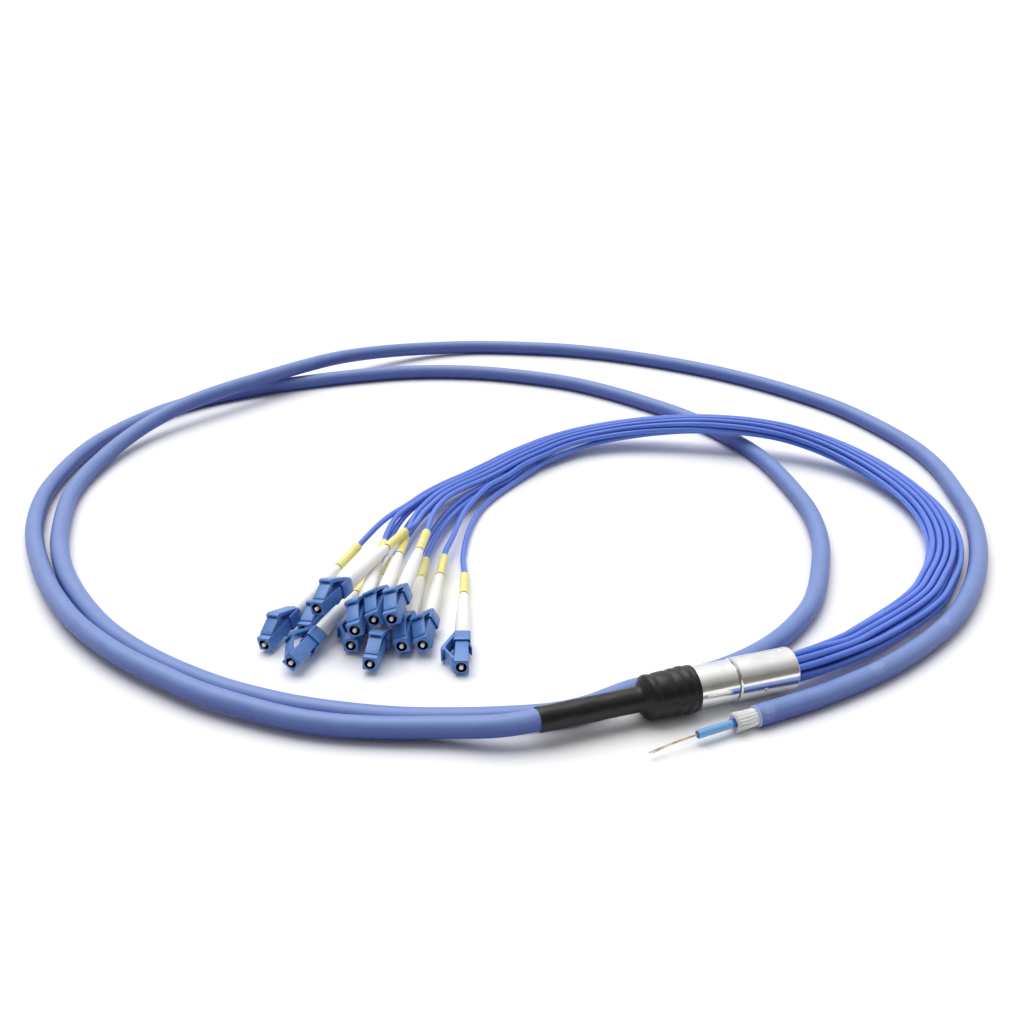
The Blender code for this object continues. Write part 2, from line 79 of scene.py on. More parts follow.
def vector_maths(tree, operation, *values):
    """The same step for vectors, whose distance and dot product are numbers."""
    made = node(tree, "ShaderNodeVectorMath", dict(enumerate(values)), operation=operation)
    return made.outputs["Value" if operation in ("DISTANCE", "DOT_PRODUCT") else "Vector"]


def new_finish(name, roughness, metallic=0.0):
    made = bpy.data.materials.new(name)
    made.use_nodes = True
    tree = made.node_tree
    shader = tree.nodes["Principled BSDF"]
    shader.inputs["Roughness"].default_value = roughness
    shader.inputs["Metallic"].default_value = metallic
    return made, tree, shader


def shades(tree, factor, stops):
    """The colour at a factor between the given (place, colour) stops."""
    ramp = node(tree, "ShaderNodeValToRGB", {"Fac": factor})
    elements = ramp.color_ramp.elements
    elements[0].position = stops[0][0]
    elements[0].color = (*stops[0][1], 1.0)
    elements[1].position = stops[-1][0]
    elements[1].color = (*stops[-1][1], 1.0)
    for place, colour in stops[1:-1]:
        elements.new(place).color = (*colour, 1.0)
    return ramp.outputs["Color"]


def grain(tree, place, scale, detail=2.0, roughness=0.5):
    """A fine noise, stretched where its scale has a number for each axis."""
    if isinstance(scale, tuple):
        place = vector_maths(tree, "MULTIPLY", place, scale)
        scale = 1.0
    return node(
        tree, "ShaderNodeTexNoise",
        {"Vector": place, "Scale": scale, "Detail": detail, "Roughness": roughness},
    ).outputs["Fac"]


def span(tree, value, low, high, to_low, to_high):
    return node(
        tree, "ShaderNodeMapRange", {0: value, 1: low, 2: high, 3: to_low, 4: to_high}
    ).outputs["Result"]


def uneven(tree, shader, height, distance, strength=1.0):
    """Gives a surface the small unevenness of a height pattern."""
    bump = node(
        tree, "ShaderNodeBump", {"Height": height, "Distance": distance, "Strength": strength}
    )
    previous = shader.inputs["Normal"]
    if previous.is_linked:
        tree.links.new(previous.links[0].from_socket, bump.inputs["Normal"])
    tree.links.new(bump.outputs["Normal"], previous)


def object_place(tree):
    return node(tree, "ShaderNodeTexCoord").outputs["Object"]


def mottled(name, roughness, noise, colours, gloss=None, bumps=(), settings=None, metallic=0.0):
    """A finish whose colours follow a fine noise, and its gloss too where that is given.

    Each bump is a noise, a distance and a strength. Without a noise it follows the colour's.
    """
    finish, tree, shader = new_finish(name, roughness, metallic)
    here = object_place(tree)
    tone = grain(tree, here, *noise)
    stops = list(zip(np.linspace(0.3, 0.7, len(colours)), colours))
    tree.links.new(shades(tree, tone, stops), shader.inputs["Base Color"])
    if gloss is not None:
        tree.links.new(span(tree, tone, *gloss), shader.inputs["Roughness"])
    for texture, distance, strength in bumps:
        height = tone if texture is None else grain(tree, here, *texture)
        uneven(tree, shader, height, distance, strength)
    for socket, value in (settings or {}).items():
        shader.inputs[socket].default_value = value
    return finish


def new_object(name, data):
    made = bpy.data.objects.new(name, data)
    bpy.context.scene.collection.objects.link(made)
    return made


white_table = mottled(
    "white table", 0.55, (3.0,), [(0.925, 0.93, 0.935), (0.945, 0.95, 0.955)],
    settings={"Specular IOR Level": 0.2},
)
table_mesh = bpy.data.meshes.new("table")
half_table = TABLE_SIZE / 2
corners = [(-half_table, -half_table, 0), (half_table, -half_table, 0)]
corners += [(half_table, half_table, 0), (-half_table, half_table, 0)]
table_mesh.from_pydata(corners, [], [(0, 1, 2, 3)])
table_mesh.materials.append(white_table)
new_object("table", table_mesh)

camera_data = bpy.data.cameras.new("camera")
camera_data.lens = CAMERA_LENS
camera_data.sensor_width = 36.0
camera_data.clip_start = 0.01
camera_data.clip_end = 50.0
camera = new_object("camera", camera_data)
camera.location = CAMERA_PLACE
camera.rotation_euler = [math.radians(angle) for angle in (CAMERA_TILT, 0.0, CAMERA_TURN)]
bpy.context.scene.camera = camera

# The soft light: a bright ceiling and far wall, and a dimmer room on the camera's side.
world = bpy.data.worlds.new("studio")
world.use_nodes = True
room = world.node_tree
away = (math.sin(math.radians(-CAMERA_TURN)), math.cos(math.radians(CAMERA_TURN)), 1.2)
facing = vector_maths(
    room, "DOT_PRODUCT", node(room, "ShaderNodeTexCoord").outputs["Generated"],
    Vector(away).normalized(),
)
glow = shades(room, span(room, facing, -1.0, 1.0, 0.0, 1.0), [
    (0.0, (0.34, 0.335, 0.33)), (0.45, (0.20, 0.19, 0.18)), (0.70, (0.52, 0.52, 0.53)),
    (0.90, (1.0, 1.0, 1.0)), (1.0, (0.96, 0.97, 1.0)),
])
backdrop = room.nodes["Background"]
room.links.new(glow, backdrop.inputs["Color"])
backdrop.inputs["Strength"].default_value = ROOM_GLOW
bpy.context.scene.world = world

lamp_data = bpy.data.lights.new("overhead", "SUN")
lamp_data.energy = LAMP_ENERGY
lamp_data.angle = math.radians(LAMP_SPREAD)
lamp = new_object("overhead", lamp_data)
lamp.rotation_euler = [math.radians(angle) for angle in (*LAMP_TILT, CAMERA_TURN)]
bpy.context.scene.view_settings.view_transform = "Standard"


# The trunk cable: glass yarns and a loose tube under a round blue jacket, extruded in one length
# and laid in two loose turns. One end is held in the heat-shrink and the other is stripped.
TRUNK_DIAMETER = 0.0063
TRUNK_START = -0.0164
HELD_LENGTH = 0.0080
TRUNK_STATIONS = 1000
SOFTENED_STATIONS = 40
EASING_PASSES = 10
AXIS_HEIGHT = 0.0070
CABLE_SIDES = 28
TRUNK_ROUTE = [
    (-0.0419, 0.0000, 0.0070), (-0.0506, 0.0020, 0.0062), (-0.0612, 0.0077, 0.0050),
    (-0.0744, 0.0130, 0.0044), (-0.0869, 0.0186, 0.0043), (-0.0992, 0.0261, 0.0044),
    (-0.1109, 0.0360, 0.0047), (-0.1229, 0.0483, 0.0050), (-0.1328, 0.0618, 0.0052),
    (-0.1415, 0.0752, 0.0052), (-0.1484, 0.0889, 0.0052), (-0.1544, 0.1047, 0.0049),
    (-0.1594, 0.1256, 0.0044), (-0.1624, 0.1471, 0.0038), (-0.1638, 0.1710, 0.0034),
    (-0.1627, 0.1899, 0.0032), (-0.1594, 0.2086, 0.0032), (-0.1539, 0.2251, 0.0032),
    (-0.1470, 0.2406, 0.0032), (-0.1385, 0.2553, 0.0032), (-0.1284, 0.2675, 0.0032),
    (-0.1176, 0.2778, 0.0032), (-0.1030, 0.2888, 0.0032), (-0.0824, 0.2976, 0.0032),
    (-0.0564, 0.3026, 0.0032), (-0.0304, 0.3042, 0.0032), (-0.0104, 0.3038, 0.0032),
    (0.0098, 0.3012, 0.0032), (0.0305, 0.2944, 0.0032), (0.0506, 0.2832, 0.0032),
    (0.0733, 0.2640, 0.0032), (0.0862, 0.2469, 0.0032), (0.0974, 0.2261, 0.0032),
    (0.1082, 0.2000, 0.0032), (0.1140, 0.1720, 0.0032), (0.1150, 0.1442, 0.0032),
    (0.1085, 0.1065, 0.0032), (0.1000, 0.0824, 0.0032), (0.0890, 0.0627, 0.0032),
    (0.0718, 0.0394, 0.0032), (0.0556, 0.0256, 0.0032), (0.0395, 0.0166, 0.0032),
    (0.0216, 0.0112, 0.0032), (0.0056, 0.0104, 0.0032), (-0.0064, 0.0102, 0.0032),
    (-0.0210, 0.0069, 0.0032), (-0.0320, 0.0068, 0.0032), (-0.0458, 0.0099, 0.0032),
    (-0.0594, 0.0142, 0.0032), (-0.0726, 0.0194, 0.0032), (-0.0855, 0.0264, 0.0032),
    (-0.0979, 0.0346, 0.0032), (-0.1078, 0.0430, 0.0032), (-0.1177, 0.0531, 0.0032),
    (-0.1300, 0.0694, 0.0032), (-0.1399, 0.0865, 0.0032), (-0.1470, 0.1042, 0.0032),
    (-0.1524, 0.1255, 0.0032), (-0.1553, 0.1459, 0.0032), (-0.1555, 0.1680, 0.0032),
    (-0.1521, 0.1956, 0.0032), (-0.1476, 0.2132, 0.0032), (-0.1404, 0.2294, 0.0036),
    (-0.1305, 0.2460, 0.0045), (-0.1192, 0.2598, 0.0060), (-0.1079, 0.2696, 0.0076),
    (-0.0960, 0.2774, 0.0090), (-0.0791, 0.2866, 0.0099), (-0.0587, 0.2974, 0.0099),
    (-0.0380, 0.3076, 0.0099), (-0.0184, 0.3170, 0.0090), (0.0049, 0.3256, 0.0066),
    (0.0295, 0.3298, 0.0042), (0.0548, 0.3264, 0.0032), (0.0869, 0.3112, 0.0032),
    (0.1076, 0.2966, 0.0032), (0.1263, 0.2786, 0.0032), (0.1436, 0.2576, 0.0032),
    (0.1574, 0.2358, 0.0032), (0.1694, 0.2100, 0.0032), (0.1776, 0.1830, 0.0032),
    (0.1804, 0.1466, 0.0032), (0.1770, 0.1200, 0.0032), (0.1686, 0.0955, 0.0032),
    (0.1578, 0.0710, 0.0032), (0.1422, 0.0475, 0.0032), (0.1240, 0.0276, 0.0032),
    (0.1028, 0.0110, 0.0032), (0.0745, -0.0027, 0.0032), (0.0458, -0.0104, 0.0032),
    (0.0205, -0.0137, 0.0032),
]
# Places on the jacket that are rubbed pale, each with its reach.
RUBBED = [
    ((0.0643, -0.0075, 0.0064), 0.0035), ((0.0992, 0.0077, 0.0062), 0.0026),
    ((0.0237, -0.0159, 0.0050), 0.0030), ((-0.1400, 0.0743, 0.0062), 0.0030),
]


def smooth_route(points, count):
    """Evenly spaced points on a smooth curve through the given ones."""
    given = np.array(points, float)
    padded = np.vstack([2 * given[0] - given[1], given, 2 * given[-1] - given[-2]])
    fine = []
    for a, b, c, d in zip(padded, padded[1:], padded[2:], padded[3:]):
        for t in np.arange(0.0, 1.0, 0.1):
            fine.append(
                0.5 * (2 * b + (c - a) * t + (2 * a - 5 * b + 4 * c - d) * t**2
                       + (3 * b - a - 3 * c + d) * t**3)
            )
    fine = np.array(fine + [given[-1]])
    along = np.concatenate([[0.0], np.cumsum(np.linalg.norm(np.diff(fine, axis=0), axis=1))])
    wanted = np.linspace(0.0, along[-1], count)
    return np.column_stack([np.interp(wanted, along, fine[:, i]) for i in range(3)])


def route_length(points):
    return float(np.linalg.norm(np.diff(points, axis=0), axis=1).sum())


def new_tree(name, sockets):
    """A Geometry Nodes tree, and what its named inputs give inside it."""
    tree = bpy.data.node_groups.new(name, "GeometryNodeTree")
    for socket, kind in sockets.items():
        tree.interface.new_socket(socket, in_out="INPUT", socket_type="NodeSocket" + kind)
    tree.interface.new_socket("Geometry", in_out="OUTPUT", socket_type="NodeSocketGeometry")
    return tree, node(tree, "NodeGroupInput").outputs


def end_tree(tree, geometry, finish):
    """Ends a tree with smooth shading, its instances made real and its finish."""
    smooth = node(tree, "GeometryNodeSetShadeSmooth", {0: geometry}).outputs[0]
    real = node(tree, "GeometryNodeRealizeInstances", {0: smooth}).outputs[0]
    dressed = node(tree, "GeometryNodeSetMaterial", {"Geometry": real, "Material": finish})
    node(tree, "NodeGroupOutput", {0: dressed.outputs[0]})
    return tree


def stored(tree, geometry, name, value, kind="FLOAT_VECTOR"):
    """Geometry whose points carry a value by name."""
    return node(
        tree, "GeometryNodeStoreNamedAttribute",
        {"Geometry": geometry, "Name": name, "Value": value}, data_type=kind, domain="POINT",
    ).outputs[0]


def recalled(tree, name, kind="FLOAT_VECTOR"):
    return node(
        tree, "GeometryNodeInputNamedAttribute", {"Name": name}, data_type=kind
    ).outputs[0]


def point_of(tree, x, y, z):
    return node(tree, "ShaderNodeCombineXYZ", {"X": x, "Y": y, "Z": z}).outputs[0]


def extruded_tree():
    """Geometry Nodes: a round section run along a line of edges, as an extruder lays a jacket.

    It stores the place on the section and the run along the line, so a pattern follows it.
    """
    tree, given = new_tree("extruded along a route", {
        "Route": "Geometry", "Diameter": "Float", "Sides": "Int", "Finish": "Material",
    })
    line = node(tree, "GeometryNodeMeshToCurve", {"Mesh": given["Route"]}).outputs[0]
    length = node(tree, "GeometryNodeSplineParameter").outputs["Length"]
    run = stored(tree, line, "run", length, "FLOAT")
    radius = maths(tree, "MULTIPLY", given["Diameter"], 0.5)
    ring = node(
        tree, "GeometryNodeCurvePrimitiveCircle", {"Resolution": given["Sides"], "Radius": radius}
    ).outputs["Curve"]
    section = stored(tree, ring, "section", node(tree, "GeometryNodeInputPosition").outputs[0])
    swept = node(
        tree, "GeometryNodeCurveToMesh", {"Curve": run, "Profile Curve": section, "Fill Caps": True}
    ).outputs[0]
    across = node(tree, "ShaderNodeSeparateXYZ", {0: recalled(tree, "section")}).outputs
    place = point_of(tree, across["X"], across["Y"], recalled(tree, "run", "FLOAT"))
    return end_tree(tree, stored(tree, swept, "jacket_place", place), given["Finish"])


def run_tree(name, tree, mesh, values):
    """An object whose plain mesh is what the tree makes of the given mesh."""
    made = new_object(name, mesh)
    modifier = made.modifiers.new("make", "NODES")
    modifier.node_group = tree
    for item in tree.interface.items_tree:
        if item.item_type == "SOCKET" and item.in_out == "INPUT" and item.name in values:
            modifier[item.identifier] = values[item.name]
    graph = bpy.context.evaluated_depsgraph_get()
    result = bpy.data.meshes.new_from_object(made.evaluated_get(graph))
    made.modifiers.remove(modifier)
    made.data = result
    return made


def route_mesh(name, *routes):
    """A mesh of plain edges along each route."""
    points = []
    edges = []
    for route in routes:
        start = len(points)
        points += [tuple(point) for point in route]
        edges += [(i, i + 1) for i in range(start, len(points) - 1)]
    mesh = bpy.data.meshes.new(name)
    mesh.from_pydata(points, edges, [])
    return mesh


def mixed(tree, factor, first, second):
    return node(
        tree, "ShaderNodeMix", {0: factor, 6: first, 7: second}, data_type="RGBA"
    ).outputs[2]


def on_its_jacket(tree):
    """The place on a jacket's section and along its run."""
    return node(tree, "ShaderNodeAttribute", attribute_name="jacket_place").outputs["Vector"]


def trunk_jacket():
    """Satin blue jacket, deep below and paler along its top by a painted highlight, with soft
    mottling and a few rubs.
    """
    finish, tree, shader = new_finish("trunk jacket", 0.42)
    here = object_place(tree)
    on_jacket = on_its_jacket(tree)
    mottle = grain(tree, here, 120.0, 4.0, 0.6)
    cloth = grain(tree, on_jacket, (420.0, 420.0, 140.0), 3.0, 0.6)
    tone = maths(tree, "MULTIPLY", maths(tree, "ADD", mottle, cloth), 0.5)
    deep = shades(tree, tone, [
        (0.32, (0.034, 0.072, 0.330)), (0.5, (0.040, 0.082, 0.355)), (0.68, (0.048, 0.094, 0.380)),
    ])
    # The pale blue is a painted highlight, mixed in where the surface faces upward; the deep blue
    # is the jacket's own colour.
    pale = shades(tree, tone, [
        (0.32, (0.146, 0.230, 0.535)), (0.5, (0.164, 0.252, 0.565)), (0.68, (0.184, 0.272, 0.595)),
    ])
    normal = node(tree, "ShaderNodeNewGeometry").outputs["Normal"]
    facing_up = node(tree, "ShaderNodeSeparateXYZ", {0: normal}).outputs["Z"]
    blue = mixed(tree, span(tree, facing_up, 0.0, 0.70, 0.0, 1.0), deep, pale)
    rubs = [
        span(tree, vector_maths(tree, "DISTANCE", here, spot), reach * 0.25, reach, 1.0, 0.0)
        for spot, reach in RUBBED
    ]
    rubbed = rubs[0]
    for near in rubs[1:]:
        rubbed = maths(tree, "MAXIMUM", rubbed, near)
    specks = span(tree, grain(tree, here, 1500.0, 3.0, 0.7), 0.42, 0.66, 0.0, 1.0)
    worn = maths(tree, "MULTIPLY", maths(tree, "MULTIPLY", rubbed, specks), 0.30)
    colour = mixed(tree, worn, blue, (0.66, 0.70, 0.82, 1.0))
    tree.links.new(colour, shader.inputs["Base Color"])
    tree.links.new(span(tree, tone, 0.3, 0.7, 0.38, 0.50), shader.inputs["Roughness"])
    uneven(tree, shader, grain(tree, on_jacket, (1500.0, 1500.0, 12.0), 3.0), 0.00002, 0.6)
    uneven(tree, shader, grain(tree, here, 900.0, 3.0), 0.00003, 0.5)
    shader.inputs["Specular IOR Level"].default_value = 0.60
    return finish


trunk_route = smooth_route([
    (TRUNK_START, 0.0, AXIS_HEIGHT), (TRUNK_START - HELD_LENGTH, 0.0, AXIS_HEIGHT), *TRUNK_ROUTE
], TRUNK_STATIONS)
# The sleeve's hold ends gently, so the bend behind it is eased.
held_end = trunk_route[:SOFTENED_STATIONS]
for step in range(EASING_PASSES):
    held_end[1:-1] = (held_end[:-2] + 2 * held_end[1:-1] + held_end[2:]) / 4
extruded = extruded_tree()
trunk_cable = run_tree(
    "trunk_cable_jacket", extruded, route_mesh("trunk route", trunk_route),
    {"Diameter": TRUNK_DIAMETER, "Sides": CABLE_SIDES, "Finish": trunk_jacket()},
)
trunk_end = Vector(trunk_route[-1])
trunk_way = (trunk_end - Vector(trunk_route[-3])).normalized()


# The stripped end: the jacket is cut square and the white glass yarns are cut a little further
# on. The light blue loose tube stands out of them, and the coated fibres stand out of the tube.
YARN_LENGTH = 0.0073
YARN_REACH = 0.0024
YARN_COUNT = 640
YARN_STRAND = 0.00012
YARN_SIDES = 5
YARN_BENDS = 6
YARN_SEED = 7
YARN_SPLAY = 0.035
YARN_FRIZZ = 0.09
TUBE_RADIUS = 0.00125
TUBE_BORE = 0.00085
TUBE_SIDES = 32
LOOSE_TUBE_END = 0.0193
# The length of tube next to the yarns that is painted darker, as painted shade.
PAINTED_SHADE_LENGTH = 0.0023
FIBRE_DIAMETER = 0.00020
FIBRE_LENGTH = 0.0155
FIBRE_DROOP = 0.0012
FIBRE_COUNT = 4
FIBRE_STATIONS = 16
FIBRE_SIDES = 8
JACKET_RADIUS = TRUNK_DIAMETER / 2
TURNED_SHARP_FROM = 38.0


def along_frame(origin, way):
    """A matrix whose +X runs along the given way and whose +Z stays upward."""
    side = Vector((0.0, 0.0, 1.0)).cross(way).normalized()
    up = way.cross(side).normalized()
    turned = Matrix((way, side, up)).transposed().to_4x4()
    return Matrix.Translation(origin) @ turned


def joined_rings(rings, closed=False):
    """A bmesh through rings of equal count. Its ends are filled, or joined to each other."""
    shape = bmesh.new()
    made = [[shape.verts.new(point) for point in ring] for ring in rings]
    pairs = list(zip(made, made[1:]))
    if closed:
        pairs.append((made[-1], made[0]))
    for low, high in pairs:
        for i in range(len(low)):
            j = (i + 1) % len(low)
            shape.faces.new((low[i], low[j], high[j], high[i]))
    if not closed:
        shape.faces.new(list(reversed(made[0])))
        shape.faces.new(made[-1])
    bmesh.ops.remove_doubles(shape, verts=shape.verts, dist=1e-7)
    bmesh.ops.recalc_face_normals(shape, faces=shape.faces)
    return shape


def finished_mesh(name, shape, finishes, sharp_from):
    """A mesh of a bmesh, smooth but for its edges sharper than the given angle."""
    mesh = bpy.data.meshes.new(name)
    shape.to_mesh(mesh)
    shape.free()
    for finish in finishes:
        mesh.materials.append(finish)
    mesh.shade_smooth()
    mesh.set_sharp_from_angle(angle=math.radians(sharp_from))
    return mesh


def ring_mesh(name, rings, finish, closed=True):
    return finished_mesh(name, joined_rings(rings, closed), [finish], TURNED_SHARP_FROM)


def turned_rings(profile, sides):
    """Rings about X from (x, radius) points, as a lathe or a mould gives them."""
    turns = [math.tau * i / sides for i in range(sides)]
    return [
        [(x, radius * math.cos(turn), radius * math.sin(turn)) for turn in turns]
        for x, radius in profile
    ]


def add_piece(name, mesh, place):
    mesh.transform(place)
    return new_object(name, mesh)


def turned_piece(name, profile, sides, finish, place, closed=True):
    """A piece turned about X and put in its place."""
    return add_piece(name, ring_mesh(name, turned_rings(profile, sides), finish, closed), place)


def yarn_tuft_tree():
    """Geometry Nodes: fine cut yarns standing around the loose tube, a little splayed."""
    tree, given = new_tree("tuft of cut yarns", {
        "Geometry": "Geometry", "Inner Radius": "Float", "Outer Radius": "Float",
        "Length": "Float", "Strand": "Float", "Count": "Int", "Seed": "Int", "Finish": "Material",
    })

    def chance(low, high, offset):
        seed = maths(tree, "ADD", given["Seed"], offset)
        return node(
            tree, "FunctionNodeRandomValue", {2: low, 3: high, "Seed": seed}, data_type="FLOAT"
        ).outputs[1]

    share = maths(tree, "SQRT", chance(0.0, 1.0, 1.0))
    reach = span(tree, share, 0.0, 1.0, given["Inner Radius"], given["Outer Radius"])
    turn = chance(0.0, math.tau, 2.0)
    y = maths(tree, "MULTIPLY", reach, maths(tree, "COSINE", turn))
    z = maths(tree, "MULTIPLY", reach, maths(tree, "SINE", turn))
    roots = node(
        tree, "GeometryNodePoints", {"Count": given["Count"], "Position": point_of(tree, 0.0, y, z)}
    ).outputs[0]
    rod = node(tree, "GeometryNodeMeshCylinder", {
        "Vertices": YARN_SIDES, "Side Segments": YARN_BENDS, "Radius": given["Strand"],
        "Depth": given["Length"],
    }).outputs["Mesh"]
    forward = point_of(tree, maths(tree, "MULTIPLY", given["Length"], 0.5), 0.0, 0.0)
    lying = node(
        tree, "GeometryNodeTransform",
        {"Geometry": rod, "Translation": forward, "Rotation": (0.0, math.pi / 2, 0.0)},
    ).outputs[0]
    size = point_of(tree, chance(0.95, 1.01, 3.0), chance(0.7, 1.2, 4.0), chance(0.7, 1.2, 5.0))
    aside = chance(-YARN_SPLAY, YARN_SPLAY, 6.0)
    splay = point_of(tree, 0.0, aside, chance(-YARN_SPLAY, YARN_SPLAY, 7.0))
    standing = node(
        tree, "GeometryNodeInstanceOnPoints",
        {"Points": roots, "Instance": lying, "Rotation": splay, "Scale": size},
    ).outputs[0]
    real = node(tree, "GeometryNodeRealizeInstances", {0: standing}).outputs[0]
    here = node(tree, "GeometryNodeInputPosition").outputs[0]
    run = node(tree, "ShaderNodeSeparateXYZ", {0: here}).outputs["X"]
    waves = node(
        tree, "ShaderNodeTexNoise", {"Vector": here, "Scale": 320.0, "Detail": 1.0}
    ).outputs["Color"]
    middled = vector_maths(tree, "SUBTRACT", waves, (0.5, 0.5, 0.5))
    frizz = maths(tree, "MULTIPLY", run, YARN_FRIZZ)
    loosened = node(
        tree, "ShaderNodeVectorMath", {0: middled, "Scale": frizz}, operation="SCALE"
    ).outputs[0]
    moved = node(
        tree, "GeometryNodeSetPosition", {"Geometry": real, "Offset": loosened}
    ).outputs[0]
    return end_tree(tree, moved, given["Finish"])


def light_blue_tube():
    """Smooth hard tube, darkened near the yarns by painted shade."""
    finish, tree, shader = new_finish("loose tube", 0.26)
    here = object_place(tree)
    run = vector_maths(
        tree, "DOT_PRODUCT", vector_maths(tree, "SUBTRACT", here, trunk_end), trunk_way
    )
    # Painted shade: the tube is darker next to the yarns, with a ragged border.
    tube_grain = grain(tree, here, 700.0)
    ragged = maths(tree, "MULTIPLY_ADD", tube_grain, 0.002, run)
    factor = span(tree, ragged, YARN_LENGTH, YARN_LENGTH + PAINTED_SHADE_LENGTH, 0.0, 1.0)
    blue = shades(tree, factor, [
        (0.0, (0.030, 0.12, 0.42)), (0.85, (0.045, 0.17, 0.50)), (1.0, (0.175, 0.41, 0.74)),
    ])
    tree.links.new(blue, shader.inputs["Base Color"])
    uneven(tree, shader, tube_grain, 0.00002, 0.4)
    shader.inputs["Coat Weight"].default_value = 0.2
    return finish


# Cut white glass, the jacket's pale torn cut, and hair-thin glass in tan coatings.
glass_yarn = mottled(
    "glass yarn", 0.55, (1800.0, 3.0, 0.6), [(0.84, 0.85, 0.86), (0.96, 0.96, 0.95)],
    settings={"Sheen Weight": 0.25},
)
cut_jacket = mottled(
    "cut jacket", 0.65, (2200.0, 4.0, 0.7), [(0.38, 0.47, 0.72), (0.56, 0.64, 0.84)],
    bumps=[(None, 0.00006, 0.8)],
)
coated_fibre = mottled(
    "coated fibre", 0.22, (500.0,), [(0.50, 0.37, 0.22), (0.64, 0.50, 0.34), (0.74, 0.62, 0.46)]
)

end_frame = along_frame(trunk_end, trunk_way)
cut_edge = turned_piece("jacket_cut_edge", [
    (0.00002, YARN_REACH), (0.00018, YARN_REACH + 0.0001), (0.00020, JACKET_RADIUS - 0.0002),
    (0.00002, JACKET_RADIUS - 0.00002), (-0.00030, JACKET_RADIUS - 0.00010),
    (-0.00030, YARN_REACH),
], CABLE_SIDES * 2, cut_jacket, end_frame)

yarn_start = bpy.data.meshes.new("yarn start")
yarn_start.from_pydata([(0.0, 0.0, 0.0)], [], [])
yarns = run_tree("cut_yarns", yarn_tuft_tree(), yarn_start, {
    "Inner Radius": TUBE_RADIUS + YARN_STRAND, "Outer Radius": YARN_REACH,
    "Length": YARN_LENGTH, "Strand": YARN_STRAND, "Count": YARN_COUNT, "Seed": YARN_SEED,
    "Finish": glass_yarn,
})
yarns.data.transform(end_frame)

loose_tube = turned_piece("loose_tube_wall", [
    (-0.0010, TUBE_BORE), (-0.0010, TUBE_RADIUS), (LOOSE_TUBE_END - 0.0001, TUBE_RADIUS),
    (LOOSE_TUBE_END, TUBE_RADIUS - 0.0001), (LOOSE_TUBE_END, TUBE_BORE + 0.0001),
    (LOOSE_TUBE_END - 0.0001, TUBE_BORE),
], TUBE_SIDES, light_blue_tube(), end_frame)

fibre_routes = []
for number in range(FIBRE_COUNT):
    turn = math.tau * number / FIBRE_COUNT
    route = []
    for share in np.linspace(-0.25, 1.0, FIBRE_STATIONS):
        sway = turn + 2.2 * share
        out = max(share, 0.0) ** 2
        spread = FIBRE_DIAMETER * (1.0 + 0.35 * out)
        route.append(end_frame @ Vector((
            LOOSE_TUBE_END + FIBRE_LENGTH * share * (1.0 - 0.04 * (number % 3)),
            spread * math.cos(sway), spread * math.sin(sway) - FIBRE_DROOP * out,
        )))
    fibre_routes.append(route)
fibres = run_tree(
    "bare_fibres", extruded, route_mesh("fibre routes", *fibre_routes),
    {"Diameter": FIBRE_DIAMETER, "Sides": FIBRE_SIDES, "Finish": coated_fibre},
)


def tie(piece, replaced=None):
    """Ties a piece to the root body, and hides the CAD node that it stands for."""
    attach(piece, "root")
    if replaced is not None:
        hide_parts(replaced)


tie(trunk_cable, "trunk_cable")
tie(cut_edge)
tie(yarns, "strength_yarns")
tie(loose_tube, "loose_tube")
tie(fibres, "fibre_bundle")


# The heat-shrink: one length of black adhesive-lined sleeve, shrunk with hot air over the cable
# and the gland's tail. It shows the steps beneath it as soft rings and wrinkles a little.
SHRINK_START = -0.0389
SHRINK_END = 0.0077
SHRINK_THIN_RADIUS = 0.00363
SHRINK_FAT_RADIUS = 0.00612
SHRINK_LAST_RADIUS = 0.00672
SHRINK_SHOULDER = -0.0098
SHRINK_SHOULDER_LENGTH = 0.0034
SHRINK_RING_PITCH = 0.0035
SHRINK_RING_HEIGHT = 0.00036
SHRINK_BORE_STEP = -0.0059
SHRINK_FOLLOWS = -0.0200
SHRINK_TILT = 0.0005
SHRINK_SIDES = 72
SHRINK_THIN_RINGS = 48
SHRINK_FAT_RINGS = 76
CABLE_BORE = 0.0032
TAIL_BORE = 0.00604


def eased_step(value):
    value = min(max(value, 0.0), 1.0)
    return value * value * (3.0 - 2.0 * value)


def shrink_radius(x, turn):
    """The sleeve's radius: thin on the cable, then growing over the gland's tail in rings."""
    leaning = x + SHRINK_TILT * math.cos(turn - 2.2)
    wrinkle = math.sin(3.0 * turn + 900.0 * x) * math.sin(420.0 * x + 1.3) + 0.6 * math.sin(
        5.0 * turn - 610.0 * x
    )
    thin = SHRINK_THIN_RADIUS + 0.000035 * wrinkle
    run = (leaning - SHRINK_SHOULDER) / (SHRINK_END - SHRINK_SHOULDER)
    over = (leaning - SHRINK_SHOULDER - SHRINK_SHOULDER_LENGTH * 0.7) / SHRINK_RING_PITCH
    over += 0.16 * math.sin(2.1 * over + 0.4 * math.sin(turn))
    grown = 0.55 + 0.45 * min(max(over / 2.0, 0.0), 1.0) + 0.18 * math.sin(1.9 * over + 0.8)
    ring = grown * abs(math.sin(math.pi * over)) ** 0.8 if over > 0 else 0.0
    fat = SHRINK_FAT_RADIUS + (SHRINK_LAST_RADIUS - SHRINK_FAT_RADIUS) * run
    fat += SHRINK_RING_HEIGHT * (ring - 0.4) + 0.00003 * wrinkle
    step = eased_step((leaning - SHRINK_SHOULDER) / SHRINK_SHOULDER_LENGTH)
    lip = eased_step((x - SHRINK_END + 0.0009) / 0.0005)
    return thin + (fat - thin) * step - 0.00022 * lip


